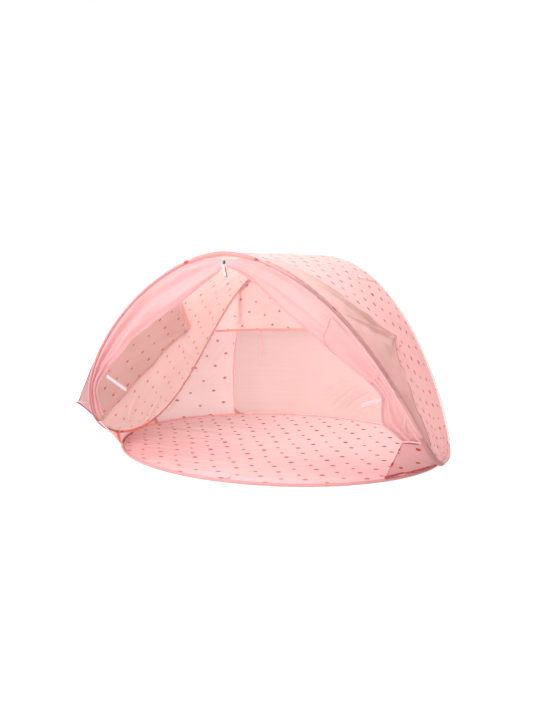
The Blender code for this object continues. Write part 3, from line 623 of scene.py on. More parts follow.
# painted light and shade: the right curtain's ramp darkens it toward its lower end; the left curtain's ramp lightens it
# near the crest and darkens it toward its lower end
M_CURTAIN_R = cloth("right_curtain_net", (230, 178, 178), (242, 194, 194), trans=0.45, net=0.10, vary=0.03, painted_light_ramps=((0, 0.50, 0.80, 0.0, -0.14),))
M_CURTAIN_L = cloth("left_curtain_net", (230, 172, 175), (243, 192, 194), trans=0.45, net=0.07, vary=0.03,
                    painted_light_ramps=((0, 0.10, 0.70, 0.06, -0.12),))
# painted light and shade: the crescent's ramp darkens its -X half and lightens its +X half
M_TOP = cloth("top_panel_cloth", (238, 194, 190), (250, 214, 210), trans=0.42, net=0.0, vary=0.03, painted_light_ramps=((0, -0.05, 0.06, -0.05, 0.14),))
M_FLAP_L = cloth("left_flap_cloth", (210, 162, 155), (255, 246, 242), trans=0.84, vary=0.05)
# painted light: the right flap's ramp darkens its lower part and makes it much lighter toward its upper end
M_FLAP_R = cloth("right_flap_cloth", (206, 154, 148), (244, 216, 210), trans=0.40, vary=0.08, painted_light_ramps=((0, 0.35, 0.95, -0.12, 0.34),))
M_GUSSET = cloth("gusset_cloth", (204, 150, 150), (216, 154, 154), dots=(170, 40, 42), trans=0.30, big=0.0068, small=0.0056)
M_CORNER = cloth("corner_cloth", (226, 172, 168), (236, 190, 184), dots=DOT, trans=0.30)
# painted light: a lighter copy of corner_cloth for the left corner web, against the shade there
M_CORNER_L_LIT = cloth("left_corner_cloth_lightened", (244, 184, 181), (246, 196, 192), dots=(206, 104, 100), trans=0.40, gain=0.92)
M_PLAIN = cloth("plain_cloth", (210, 150, 147), (214, 146, 142), trans=0.30)
M_EAR = cloth("flap_corner_cloth", (160, 108, 108), (180, 130, 130), trans=0.35, net=0.10)
M_FOLD = cloth("foot_fold_cloth", (186, 122, 119), (200, 130, 124), trans=0.25, vary=0.08)
# painted light and shade: the mat's ramps darken it toward the door (-Y), lighten it toward the back past its own
# colour, and darken its -X end
M_MAT = cloth("mat_cloth", (250, 204, 204), (230, 160, 160), dots=(184, 46, 48), trans=0.06, vary=0.035,
              stripe=0.02, big=0.0080, small=0.0062, painted_light_ramps=((1, -0.40, 0.40, -0.27, 0.45), (0, -0.55, -0.08, -0.13, 0.0)))
M_GROUND = cloth("ground_cloth", (230, 180, 176), trans=0.10, vary=0.05)
M_SLEEVE = tape("arch_sleeve_cloth", (216, 156, 155), trans=0.30, clear=0.04, rib=0.0014, sheer=(0.40, 0.82, 0.58))
# painted light: the rear sleeve's colour and gain 0.92 are lifted past its cloth to offset the shade inside
M_SLEEVE_REAR = tape("rear_sleeve_cloth", (242, 190, 185), trans=0.15, rib=0.0014, gain=0.92)
M_HEM = tape("floor_hem_cloth", (206, 138, 138), trans=0.15)
M_HEM_RED = tape("gusset_hem_tape", (172, 66, 68), trans=0.10)
M_ROSE = tape("rose_tape", (222, 152, 152), trans=0.20)
M_BAND = tape("brow_band_tape", (200, 134, 132), trans=0.12)
# painted light: the window binding, window strap and salmon tape below have gain 1.0 and lifted colours, lighter than
# their cloth, to offset the shade inside the tent
M_BIND = tape("window_binding_tape", (255, 200, 198), trans=0.05, gain=1.0)
M_STRAP = tape("window_strap_tape", (255, 204, 198), trans=0.05, gain=1.0)
M_SALMON = tape("salmon_tape", (255, 182, 176), trans=0.05, gain=1.0)
M_PALE = tape("pale_tape", (226, 184, 182), trans=0.25)
M_ZIP = tape("zip_tape_cloth", (222, 164, 166), trans=0.35, rib=0.0007)
M_COIL = tape("zip_coil", (214, 156, 158), trans=0.05, rib=0.0005, rough=0.5)
M_TIE = tape("tie_ribbon", (232, 182, 188), trans=0.20, rib=0.0006, rough=0.5)
M_RIBBON = tape("ribbon_satin", (240, 206, 210), trans=0.30, rib=0.0006, rough=0.4, sheen=0.4)
M_MAROON = tape("ribbon_back", (110, 46, 60), trans=0.05, rib=0.0006, rough=0.5)
M_THREAD = tape("stitch_thread", (200, 60, 62), trans=0.0, rib=0.0004, rough=0.6)
# painted light: the seam thread and the tape on the next line also have gain 1.0 and lifted colours, against the shade
# inside
M_SEAM = tape("seam_thread", (250, 184, 180), trans=0.05, rib=0.0006, gain=1.0)
# painted shadow: the strip inside the left wall under the flap's lower edge
M_SHADE = tape("flap_edge_shadow_strip", (255, 190, 182), trans=0.05, rib=0.0006, gain=1.0)
M_NETHEM = tape("curtain_hem_tape", (226, 146, 152), trans=0.30, rib=0.0006)
# painted light: a lighter copy of the floor hem cloth (gain 1.0) for the rear hem, the left hem end, the left foot
# pocket and the left gusset's hems, against the shade inside
M_HEM_LIT = tape("inner_hem_cloth_lightened", (246, 160, 156), trans=0.05, gain=1.0)
M_EDGE = tape("flap_edge_tape", (196, 122, 114), trans=0.20, rib=0.0006)
M_END = tape("flap_end_tape", (226, 148, 138), trans=0.25, rib=0.0006)
M_PIPE = tape("rear_piping", (190, 104, 104), trans=0.10, rib=0.0006)
M_LINE = tape("edge_piping", (150, 104, 104), trans=0.0, rib=0.0006)
M_TAG = tape("blank_tag", (232, 206, 203), trans=0.25, rib=0.0005, vary=0.02)
M_STEEL = hard("spring_steel", (70, 70, 74), 0.7, 0.42)
M_ZIPMETAL = hard("zip_metal", (60, 84, 90), 0.85, 0.34, scratch=0.3)
M_PINCH = tape("curtain_roll_cloth", (222, 166, 170), trans=0.20, rib=0.0008)
M_PLASTIC = hard("dark_plastic", (62, 54, 56), 0.0, 0.45)
M_BUTTON = hard("rose_plastic", (196, 132, 128), 0.0, 0.45)
M_PLEAT = tape("curtain_pleat_cloth", (228, 180, 184), trans=0.30, rib=0.0008)
M_HEMDOT = tape("hem_dot", (160, 40, 42), trans=0.0, rib=0.0006)
# painted light: a lighter copy of plain_cloth for the left gusset, against the shade there
M_GUSSET_L_LIT = cloth("left_gusset_cloth_lightened", (240, 184, 180), (244, 196, 190), trans=0.35, gain=0.92)
# painted shade: the dark line under the right curtain's foot roll
M_CREASE_SHADE = tape("painted_crease_shade", (128, 82, 92), trans=0.0, rib=0.0006)

for n in ("floor_ring_wire", "arch_ring_wire", "floor_ring_ferrule", "arch_ring_ferrule"):
    NODES[n].data.materials.clear()
    NODES[n].data.materials.append(M_STEEL)


def finish_piece(ob, body, nodes=()):
    if body:
        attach(ob, body)
    if nodes:
        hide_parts(*nodes)
    return ob


# ------------------------------------------------------------------ side walls
def wall_edges(s):
    f, r = at(LF, s), at(LR, s)
    return f + toward(LF, s, r) * EDGE, r + toward(LR, s, f) * EDGE


def wall_base(s, t):
    """Point of the right side wall: s up from the foot, t front to rear."""
    a, b = wall_edges(s)
    t = np.asarray(t, float)[..., None]
    return a * (1 - t) + b * t


def wall_frame(s, t):
    s, t = np.broadcast_arrays(np.asarray(s, float), np.asarray(t, float))
    e = 0.006
    p = wall_base(s, t)
    a = wall_base(np.minimum(s + e, 1), t) - wall_base(np.maximum(s - e, 0.012), t)
    b = wall_base(s, t + e) - wall_base(s, t - e)
    n = unit(np.cross(a, b))
    out = p - np.array([0, 0, 0.25])
    n = n * np.sign((n * out).sum(-1, keepdims=True))
    return p, n


def wall_width(s):
    a, b = wall_edges(s)
    return np.linalg.norm(b - a, axis=-1)


def wall_relief(s, t, side):
    """How far the tensioned cloth stands off the ruled surface."""
    w = wall_width(s)
    u, v = s * SIDE_LEN, t * w
    k = 11 if side > 0 else 47
    sag = -0.0060 * 4 * t * (1 - t) * np.sin(PI * np.clip(s, 0, 1)) ** 0.8
    d = sag + 0.0014 * fbm(u / 0.17, v / 0.17, k) * np.minimum(1, 12 * t * (1 - t))
    d = d + pucker(u, v, 0.0011, 0.021, 0.022, k + 3) + pucker(u, w - v, 0.0011, 0.019, 0.022, k + 4)
    # tension folds from the foot, the ridge ends and the arch legs
    for a, b, amp, wd, bow in (((0.03, 0.02), (0.36, 0.25), 0.0024, 0.010, 0.01),
                               ((0.04, 0.05), (0.30, 0.38), 0.0020, 0.009, -0.01),
                               ((0.05, 0.10), (0.22, 0.42), 0.0018, 0.008, 0.0),
                               ((0.95, 0.04), (0.62, 0.20), 0.0016, 0.013, 0.02),
                               ((0.98, 0.66), (0.66, 0.50), 0.0018, 0.014, -0.02),
                               ((1.04, 0.60), (0.78, 0.36), 0.0012, 0.012, 0.01),
                               ((0.40, 0.66), (0.60, 0.40), 0.0014, 0.013, 0.01),
                               ((0.55, 0.68), (0.70, 0.46), 0.0012, 0.011, -0.01)):
        d = d + fold(u, v, a, b, amp, wd, 0.3, bow)
    return d


def wall_at(s, t, side, lift=0.0):
    p, n = wall_frame(s, t)
    p = p + n * (wall_relief(s, t, side) + lift)[..., None]
    if side < 0:
        p, n = p * FLIP, n * FLIP
    return p, n


def side_wall(side, name, mat):
    s = np.r_[np.linspace(0.016, 0.10, 22)[:-1], np.linspace(0.10, 1.0, 190)]
    t = np.linspace(0, 1, 130)
    S, T = np.meshgrid(s, t, indexing="ij")
    p, n = wall_at(S, T, side)
    p[-1, :, 0] = 0.0
    w = wall_width(S)
    u, v = S * SIDE_LEN, (T - 0.5) * w
    uv = printed(u, v, *PRINT["right_wall" if side > 0 else "left_wall"])
    ob = grid(name, p, uv, mat, outward=n)
    return ob


wall_r = finish_piece(side_wall(1, "right_wall_sheet", M_WALL_R), "tent", ["right_side_wall"])
wall_l = finish_piece(side_wall(-1, "left_wall_sheet", M_WALL_L), "tent", ["left_side_wall"])

# seam tape along the ridge
yy = np.linspace(at(LF, 1.0)[1] + EDGE + 0.002, at(LR, 1.0)[1] - EDGE - 0.002, 120)
zz = np.interp(yy, [yy[0], yy[-1]], [FRONT["top"], REAR["top"]]) + 0.0011
path = np.stack([0.0008 * noise(yy / 0.09, 0.5, 5), yy, zz + 0.0003 * noise(yy / 0.02, 2.5, 5)], 1)
e1 = np.tile([1.0, 0, 0], (len(path), 1))
e2 = np.tile([0, 0, 1.0], (len(path), 1))
prof = [(-0.0075, -0.0016), (-0.0035, -0.0006), (0, -0.0003), (0.0035, -0.0006), (0.0075, -0.0016),
        (0.0078, -0.0011), (0.0035, 0.0003), (0, 0.0007), (-0.0035, 0.0003), (-0.0078, -0.0011)]
finish_piece(sweep("ridge_seam_tape", path, e1, e2, prof, M_PALE), "tent", ["ridge_tape"])

# ------------------------------------------------------------------ arch sleeves and foot pockets
def front_path(a, b, n):
    return at(LF, np.linspace(a, b, n))


def rear_path(a, b, n):
    return at(LR, np.linspace(a, b, n))


FOOT_S = 2 / 24
slim = smooth((0.115 - np.abs(np.linspace(FOOT_S, 2 - FOOT_S, 700) - 1)) / 0.03)
finish_piece(tube("front_arch_casing", front_path(FOOT_S, 2 - FOOT_S, 700), 0.0047 - 0.0012 * slim, M_SLEEVE, 12, rough=0.08, k=3),
             "tent", ["front_arch_sleeve"])
finish_piece(tube("rear_arch_casing", rear_path(FOOT_S, 2 - FOOT_S, 700), 0.0048, M_SLEEVE_REAR, 12, rough=0.06, k=4),
             "tent", ["rear_arch_sleeve"])
for side, name in ((1, "right"), (-1, "left")):
    a = at(LF, np.linspace(FOOT_S + 0.008, 0, 60))
    b = at(LR, np.linspace(0, FOOT_S + 0.008, 60))[1:]
    p = np.concatenate([a, b])
    q = np.linspace(0, 1, len(p))
    if side < 0:
        p = p * FLIP
    r = 0.0052 + 0.0016 * np.sin(PI * q) ** 2
    # painted light: the left foot pocket takes the lightened hem cloth instead of plain_cloth
    finish_piece(tube(name + "_foot_pocket_cloth", p + np.array([0, 0, 0.0004]), r, M_PLAIN if side > 0 else M_HEM_LIT, 16, rough=0.14,
                      k=8 + side, low=0.0004), "tent", [name + "_foot_pocket"])

# stitched line where each side wall meets the rear sleeve
q = np.linspace(0.10, 0.985, 420)
for side, name in ((1, "right"), (-1, "left")):
    p = at(LR, q) + toward(LR, q, at(LF, q)) * 0.0040
    inward = unit(np.array([0, 0.0, 0.25]) - p)
    p = p + inward * 0.0012
    if side < 0:
        p = p * FLIP
    finish_piece(tube(name + "_rear_seam_line", p, 0.0010 * (1 + 0.25 * noise(q * 60, 0.5, 9)), M_SEAM, 6, rough=0.2, k=9),
                 "tent", ())

# piping along the outer side of the rear arch's legs
q = np.linspace(0.09, 0.70, 260)
for side, name in ((1, "right"), (-1, "left")):
    p = at(LR, q)
    away = p - np.array([0, 0.20, 0.25])
    tq = unit(np.gradient(p, axis=0))
    away = unit(away - tq * (away * tq).sum(-1, keepdims=True))
    p = p + away * 0.0044
    if side < 0:
        p = p * FLIP
    r = 0.0020 * (1 + 0.2 * noise(q * 90, 0.5, 12)) * (0.3 + 0.7 * smooth((0.70 - q) / 0.12))
    finish_piece(tube(name + "_rear_piping", p, r, M_PIPE, 8, rough=0.2, k=13), "tent", ())

# cloth that closes each corner between the arch's rounded bottom and the floor ring
for side, name in ((1, "right"), (-1, "left")):
    hoop = np.concatenate([at(LF, np.linspace(0.150, 0, 50)), at(LR, np.linspace(0, 0.105, 34))[1:]])
    q = run_of(hoop)
    q = q / q[-1]
    th = np.radians(-25 + 40 * q)
    rim = np.stack([FLOOR_A * np.cos(th), FLOOR_B * np.sin(th), np.full_like(th, FLOOR_Z + 0.0030)], -1)
    u = np.linspace(0, 1, 14)
    p = hoop[:, None] * (1 - u[None, :, None]) + rim[:, None] * u[None, :, None]
    p = p + np.array([0.5, 0, 0.6]) * (0.0010 * np.sin(PI * u)[None] * noise(q[:, None] * 11, u[None] * 2, 31))[..., None]
    uv = printed(p[..., 0], p[..., 1], *PRINT["mat"])
    if side < 0:
        p = p * FLIP
    # painted light: the left web takes the lightened corner cloth
    ob = grid(name + "_corner_web", p, uv, M_CORNER if side > 0 else M_CORNER_L_LIT, outward=np.array([side * 1.0, 0, 0.3]))
    finish_piece(ob, "tent", ())

# ------------------------------------------------------------------ floor ring hem, ground sheet and mat
STEP = 2 * PI / 64
for name, a, b, node in (("front_floor_hem_cloth", PI + STEP, 2 * PI - STEP, "floor_hem_front"),
                         ("rear_floor_hem_cloth", STEP, PI - STEP, "floor_hem_rear"),
                         ("left_hem_end_cloth", PI - STEP, PI + STEP, "left_floor_hem_end"),
                         ("right_hem_end_cloth", -STEP, STEP, "right_floor_hem_end")):
    n = 520 if "floor" in name else 40
    p = floor_pt(np.linspace(a, b, n))
    # painted light: the rear hem and the left hem end take the lightened hem cloth
    finish_piece(tube(name, p, 0.0044, M_HEM_LIT if name.startswith(("rear", "left")) else M_HEM, 12, rough=0.12, k=21, low=0.0012), "tent",
                 [node])


def ellipse_grid(a, b, nr, na, inner=0.0):
    r = np.linspace(inner, 1, nr) ** 0.8
    th = np.linspace(0, 2 * PI, na, endpoint=False)
    R, T = np.meshgrid(r, th, indexing="ij")
    return R, T, a * R * np.cos(T), b * R * np.sin(T)


def mat_top(x, y):
    rr = np.sqrt((x / 0.5346) ** 2 + (y / 0.4196) ** 2)
    th = np.arctan2(y / 0.4196, x / 0.5346)
    z = 0.0080 + 0.0012 * smooth((1 - rr) / 0.10) + 0.0006 * fbm(x / 0.15, y / 0.15, 61)
    left = smooth((0.10 - x) / 0.45)
    z = z + 0.0011 * left * noise(x / 0.16 + 0.4 * noise(x / 0.1, y / 0.1, 64), y / 0.0125, 62)
    z = z + 0.0005 * noise(x / 0.20, y / 0.022, 66)
    z = z + 0.0008 * np.exp(-(1 - rr) * 0.45 / 0.035) * np.sin(th * 74 + 2.2 * noise(th * 9, 1.5, 67))
    return z


R, T, X, Y = ellipse_grid(0.5346, 0.4196, 90, 320)
top = np.stack([X, Y, mat_top(X, Y)], -1)
rim = np.stack([0.5350 * np.cos(T[-1]), 0.4200 * np.sin(T[-1]), np.full(320, 0.0050)], -1)
low = np.stack([0.5338 * np.cos(T[-1]), 0.4188 * np.sin(T[-1]), np.full(320, 0.0018)], -1)
nr, na = R.shape
verts = [top[0, 0]] + list(top[1:].reshape(-1, 3)) + list(rim) + list(low)
uvs = printed(np.asarray(verts)[:, 0], np.asarray(verts)[:, 1], *PRINT["mat"])
faces = [(0, 1 + j, 1 + (j + 1) % na) for j in range(na)]
for i in range(nr - 2 + 2):
    for j in range(na):
        a, b = 1 + i * na + j, 1 + i * na + (j + 1) % na
        faces.append((a, a + na, b + na, b))
faces.append(tuple(1 + (nr) * na + j for j in range(na))[::-1])
mat_ob = build("floor_mat_pad", verts, faces, uvs, M_MAT)
finish_piece(mat_ob, "tent", ["floor_mat"])

R, T, X, Y = ellipse_grid(0.5350, 0.4200, 24, 160)
gz = 0.0009 + 0 * X
p = np.stack([X, Y, gz], -1)
n1, n2 = R.shape
verts = [p[0, 0]] + list(p[1:].reshape(-1, 3))
low = p[1:].copy()
low[..., 2] = 0.0
verts += [np.array([0, 0, 0.0])] + list(low.reshape(-1, 3))
half = 1 + (n1 - 1) * n2
faces = []
for off, flipf in ((0, False), (half, True)):
    fs = [(off, off + 1 + j, off + 1 + (j + 1) % n2) for j in range(n2)]
    for i in range(n1 - 2):
        for j in range(n2):
            a, b = off + 1 + i * n2 + j, off + 1 + i * n2 + (j + 1) % n2
            fs.append((a, a + n2, b + n2, b))
    faces += [f[::-1] for f in fs] if flipf else fs
for j in range(n2):
    a, b = 1 + (n1 - 2) * n2 + j, 1 + (n1 - 2) * n2 + (j + 1) % n2
    faces.append((a, a + half, b + half, b))
uvs = np.asarray(verts)[:, :2]
ground = build("ground_sheet_cloth", verts, faces, uvs, M_GROUND)
finish_piece(ground, "tent", ["ground_sheet"])


# ------------------------------------------------------------------ rear panels
SEAM_S = float(s_of_z(LR, SEAM_Z))
SEAM_P = at(LR, np.array(SEAM_S))
SEAM_Y = float(SEAM_P[1])


def seam_rise(x):
    """The cross seam bows up a little toward the middle."""
    return SEAM_RISE * (1 - np.minimum(1, np.abs(x) / SEAM_P[0]) ** 1.3)


def seam_pt(x):
    x = np.asarray(x, float)
    return np.stack([x, np.full_like(x, SEAM_Y), SEAM_Z - 0.0012 + seam_rise(x)], -1)


def rim_pt(x):
    x = np.asarray(x, float)
    return np.stack([x, FLOOR_B * np.sqrt(np.clip(1 - (x / FLOOR_A) ** 2, 0, None)),
                     np.full_like(x, FLOOR_Z + 0.0046)], -1)


def upper_panel():
    s = np.linspace(SEAM_S, 1, 400)
    edge = at(LR, s) + toward(LR, s, np.stack([0 * s, at(LR, s)[:, 1], 0.30 + 0 * s], -1)) * EDGE
    edge[0] = SEAM_P + np.array([-EDGE * 1.25, 0, 0])
    z = SEAM_Z + 0.0003 + (edge[:, 2].max() - SEAM_Z - 0.0004) * np.linspace(0, 1, 90) ** 0.9
    ex = np.interp(z, edge[:, 2], edge[:, 0])
    ey = np.interp(z, edge[:, 2], edge[:, 1])
    k = np.linspace(-1, 1, 170)
    x = ex[:, None] * k[None]
    y = np.repeat(ey[:, None], len(k), 1)
    zz = np.repeat(z[:, None], len(k), 1)
    zz = zz + seam_rise(x) * np.clip(1 - (zz - SEAM_Z) / 0.10, 0, 1) ** 1.5
    d = 0.0016 * fbm(x / 0.18, zz / 0.15, 71) + pucker(x, zz - SEAM_Z - seam_rise(x), 0.0012, 0.024, 0.020, 72)
    side_d = (1 - np.abs(k))[None] * ex[:, None]
    d = d + pucker(zz, side_d, 0.0010, 0.020, 0.018, 73)
    for a, b, amp, w, bow in (((-0.36, 0.34), (-0.10, 0.47), 0.0022, 0.011, 0.01),
                              ((0.36, 0.34), (0.12, 0.45), 0.0022, 0.011, -0.01),
                              ((-0.38, 0.36), (-0.25, 0.50), 0.0016, 0.010, 0.0),
                              ((0.38, 0.36), (0.26, 0.50), 0.0016, 0.010, 0.0),
                              ((-0.02, 0.62), (-0.14, 0.42), 0.0015, 0.012, 0.01),
                              ((0.03, 0.62), (0.10, 0.40), 0.0015, 0.012, 0.0)):
        d = d + fold(x, zz, a, b, amp, w, 0.3, bow)
    d = d * np.minimum(1, side_d / 0.012) * np.clip((zz - SEAM_Z - seam_rise(x)) / 0.01, 0.15, 1)
    # the folded-up cover lies close behind, so the folds lean inward
    p = np.stack([x, y - np.abs(d) * 0.9 - 0.0004, zz], -1)
    return p, printed(x, zz, *PRINT["rear_up"])


p, uv = upper_panel()
upper = grid("rear_upper_sheet", p, uv, M_REAR_UP, outward=np.array([0, 1.0, 0]))
finish_piece(upper, "tent", ["rear_upper_panel"])


def window_bow(v):
    """The window's side seams bow outward between seam and floor."""
    return 0.018 * np.clip(4 * v * (1 - v), 0, None) ** 0.6


def window_edge(v, inset=0.0):
    a, b = seam_pt(WINDOW_TOP_X - inset), rim_pt(WINDOW_LOW_X - inset)
    v = np.asarray(v, float)
    return a * (1 - v[..., None]) + b * v[..., None] + window_bow(v)[..., None] * np.array([1.0, 0, 0])


def rear_side(side):
    s = np.linspace(SEAM_S, FOOT_S, 90)
    P = at(LR, s)
    d = np.array([0, FLOOR_B, 0.05]) - P
    t = tangent(LR, s)
    d = unit(d - t * (d * t).sum(-1, keepdims=True))
    q = P + d * EDGE * 1.04
    q[0] = SEAM_P + np.array([-EDGE * 1.25, 0, -0.0012])
    k = smooth(np.arange(90) / 6.0)[:, None]
    q = q[0] + (q - q[0]) * np.where(np.arange(90)[:, None] < 6, np.maximum(k, 0.0) * 0 + 1, 1)
    run = run_of(q)
    v = run / run[-1]
    a = window_edge(v, -0.0004)
    u = np.linspace(0, 1, 80)
    ang1 = math.atan2(rim_pt(WINDOW_LOW_X)[1] / FLOOR_B, WINDOW_LOW_X / FLOOR_A)
    th = ang1 * (1 - u) + 0.225 * u
    rim = np.stack([FLOOR_A * np.cos(th), FLOOR_B * np.sin(th), np.full_like(th, FLOOR_Z + 0.0046)], -1)
    low = window_edge(np.array(1.0), -0.0004) * (1 - u[:, None]) + q[-1] * u[:, None]
    rim[-1] = low[-1]
    rim[0] = low[0]
    p = a[:, None] * (1 - u[None, :, None]) + q[:, None] * u[None, :, None]
    p = p + (rim - low)[None] * (v ** 2)[:, None, None]
    V, U = np.meshgrid(v, u, indexing="ij")
    du = np.linalg.norm(q - a, axis=1)[:, None] * U
    dv = run[:, None] * (1 + 0 * U)
    nn = normals(p)
    nn = nn * np.sign((nn * np.array([0, 1.0, 0])).sum(-1, keepdims=True))
    e = np.minimum(1, 14 * U * (1 - U)) * np.minimum(1, 14 * V * (1 - V))
    k0 = 81 if side > 0 else 91
    disp = e * 0.0022 * fbm(du / 0.12, dv / 0.12, k0)
    disp = disp + pucker(dv, du, 0.0009, 0.021, 0.016, k0 + 1) + pucker(du, run[-1] - dv, 0.0011, 0.020, 0.018, k0 + 2)
    disp = disp + pucker(dv, np.linalg.norm(q - a, axis=1)[:, None] - du, 0.0010, 0.019, 0.018, k0 + 3)
    for fa, fb, amp, w, bow in (((0.02, 0.04), (0.12, 0.26), 0.0018, 0.010, 0.01),
                                ((0.20, 0.33), (0.05, 0.20), 0.0020, 0.009, -0.01),
                                ((0.11, 0.02), (0.04, 0.16), 0.0014, 0.009, 0.0)):
        disp = disp + e * fold(du, dv, fa, fb, amp, w, 0.3, bow)
    p = p + nn * disp[..., None]
    uv = printed(-p[..., 0], -np.hypot(p[..., 2] - SEAM_Z, p[..., 1] - SEAM_Y), *PRINT["rear_low"])
    if side < 0:
        p, nn = p * FLIP, nn * FLIP
    return p, uv, nn


for side, name in ((1, "right"), (-1, "left")):
    p, uv, nn = rear_side(side)
    ob = grid("rear_%s_sheet" % name, p, uv, M_REAR, outward=nn)
    finish_piece(ob, "tent", ["rear_%s_panel" % name])


def window_pt(u, v):
    u, v = np.broadcast_arrays(np.asarray(u, float), np.asarray(v, float))
    p = seam_pt(u * WINDOW_TOP_X) * (1 - v[..., None]) + rim_pt(u * WINDOW_LOW_X) * v[..., None]
    return p + (u * window_bow(v))[..., None] * np.array([1.0, 0, 0])


V, U = np.meshgrid(np.linspace(0, 1, 90), np.linspace(-1, 1, 150), indexing="ij")
p = window_pt(U, V)
x, h = U * 0.300, V * 0.345
e = np.minimum(1, 10 * (1 - np.abs(U))) * np.minimum(1, 14 * V * (1 - V))
d = e * 0.0018 * fbm(x / 0.16, h / 0.10, 101)
for fa, fb, amp, w, bow in (((0.05, 0.33), (0.21, 0.19), 0.0090, 0.010, 0.012), ((0.10, 0.33), (0.24, 0.22), 0.0084, 0.009, 0.010),
                            ((0.00, 0.32), (0.18, 0.15), 0.0060, 0.011, 0.014), ((0.15, 0.33), (0.26, 0.26), 0.0066, 0.008, 0.004),
                            ((-0.25, 0.02), (-0.10, 0.20), 0.0016, 0.012, 0.01), ((-0.26, 0.30), (-0.14, 0.10), 0.0014, 0.012, -0.01),
                            ((0.24, 0.03), (0.14, 0.20), 0.0018, 0.012, -0.01)):
    d = d + e * fold(x, h, fa, fb, amp, w, 0.3, bow)
d = d + pucker(x, h, 0.0010, 0.026, 0.02, 102) * np.clip(h / 0.006, 0, 1)
p = p + np.array([0, 0.96, 0.25]) * d[..., None]
win = grid("rear_window_net", p, np.stack([x, -h], -1), M_WINDOW, outward=np.array([0, 1.0, 0.2]))
finish_piece(win, "tent", ["rear_window_mesh"])


def window_loop():
    """Round-cornered line just inside the window's seams, from the top left down, across and up."""
    r = 0.030
    pts = []
    top, bottom = 0.004, 0.993
    x0, v0 = 0.985, 1.0
    for v in np.linspace(top, bottom - r / 0.334, 50):
        pts.append((-x0, v))
    for a in np.linspace(0, PI / 2, 12)[1:-1]:
        pts.append((-x0 + (r / 0.280) * (1 - math.cos(a)), bottom - (r / 0.334) * (1 - math.sin(a))))
    for u in np.linspace(-x0 + r / 0.280, x0 - r / 0.280, 90):
        pts.append((u, bottom))
    for a in np.linspace(PI / 2, 0, 12)[1:-1]:
        pts.append((x0 - (r / 0.280) * (1 - math.cos(a)), bottom - (r / 0.334) * (1 - math.sin(a))))
    for v in np.linspace(bottom - r / 0.334, top, 50):
        pts.append((x0, v))
    return np.array(pts)


uvp = window_loop()
wn = unit(np.array([0, -0.33, -0.06]))
wn = unit(np.array([0.0, -0.3340, -0.0900]))
path = window_pt(uvp[:, 0], uvp[:, 1]) + wn * 0.0022
path = path + wn * (0.0004 * noise(run_of(path) / 0.02, 0.5, 111))[:, None]
t = unit(np.gradient(path, axis=0))
e2 = np.tile(wn, (len(path), 1))
e1 = unit(np.cross(e2, t))
broad = np.where(uvp[:, 1] > 0.975, 0.22, 1.0)
broad = np.convolve(np.pad(broad, 5, mode="edge"), np.ones(11) / 11, "valid")
finish_piece(sweep("window_binding_tape", path, e1, e2, flat(0.0074, 0.0013), M_BIND, size=broad), "tent",
             ["rear_window_binding"])

# cloth that rounds the window's two lower corners
for side, name in ((-1, "left"), (1, "right")):
    r = 0.030
    a = np.linspace(0, PI / 2, 14)
    cu = side * (0.985 - (r / 0.280) * (1 - np.cos(a)))
    cv = 0.986 - (r / 0.334) * (1 - np.sin(a))
    inner = window_pt(cu, cv)
    k = a / (PI / 2)
    ou = side * np.where(k < 0.5, 1.0, 1.0 - (r / 0.280) * (2 * k - 1) * 1.0)
    ov = np.where(k < 0.5, 0.986 - (r / 0.334) * (1 - 2 * k), 1.0)
    outer = window_pt(ou, ov)
    rows = [inner * (1 - f) + outer * f for f in np.linspace(0, 1, 8)]
    p = np.stack(rows, 1) + wn * 0.0012
    uv = np.stack([p[..., 0], p[..., 2]], -1)
    ob = grid("window_corner_%s" % name, p, uv, M_REAR, outward=-wn)
    finish_piece(ob, "tent", ())

# the seam that carries the window, inside
xs = np.linspace(-1, 1, 240) * (SEAM_P[0] - 0.008)
path = np.stack([xs, np.full_like(xs, SEAM_Y - 0.0028), SEAM_Z + seam_rise(xs) + 0.0006 * noise(xs / 0.05, 0.5, 120)
                 - 0.0004], 1)
e2 = np.tile([0.0, -1.0, 0.0], (len(path), 1))
e1 = unit(np.cross(unit(np.gradient(path, axis=0)), e2))
finish_piece(sweep("rear_seam_tape", path, e1, e2, flat(0.0074, 0.0014), M_SALMON,
                   size=1 + 0.10 * noise(run_of(path) / 0.013, 4.5, 121)), "tent", ())

# ------------------------------------------------------------------ rear cover, folded up outside
COVER_Y, COVER_Z0, COVER_Z1 = 0.3418, 0.342, 0.603


def cover_half(z):
    s = s_of_z(LR, z)
    return np.minimum(0.280, at(LR, s)[..., 0] - 0.014)


z = np.linspace(COVER_Z0, COVER_Z1, 70)
k = np.linspace(-1, 1, 150)
X = cover_half(z)[:, None] * k[None]
Z = np.repeat(z[:, None], len(k), 1)
d = 0.0008 + 0.0030 * (0.5 + 0.5 * fbm(X / 0.16, Z / 0.10, 131)) * np.clip((Z - COVER_Z0) / 0.03, 0, 1)
for fa, fb, amp, w, bow in (((-0.24, 0.36), (0.0, 0.60), 0.0030, 0.014, 0.02), ((0.24, 0.36), (0.01, 0.60), 0.0030, 0.014, -0.02),
                            ((-0.10, 0.35), (0.0, 0.59), 0.0022, 0.012, 0.01), ((0.13, 0.35), (0.01, 0.59), 0.0022, 0.012, 0.0)):
    d = d + np.abs(fold(X, Z, fa, fb, amp, w, 0.25, bow))
p = np.stack([X, COVER_Y + d, Z], -1)
uv = np.stack([X + 20.5 * DOT_P, Z + 20.5 * DOT_Q - 0.3], -1)
cover = grid("window_cover_sheet", p, uv, M_COVER, outward=np.array([0, 1.0, 0]))
finish_piece(cover, "rear_cover", ["rear_window_cover"])
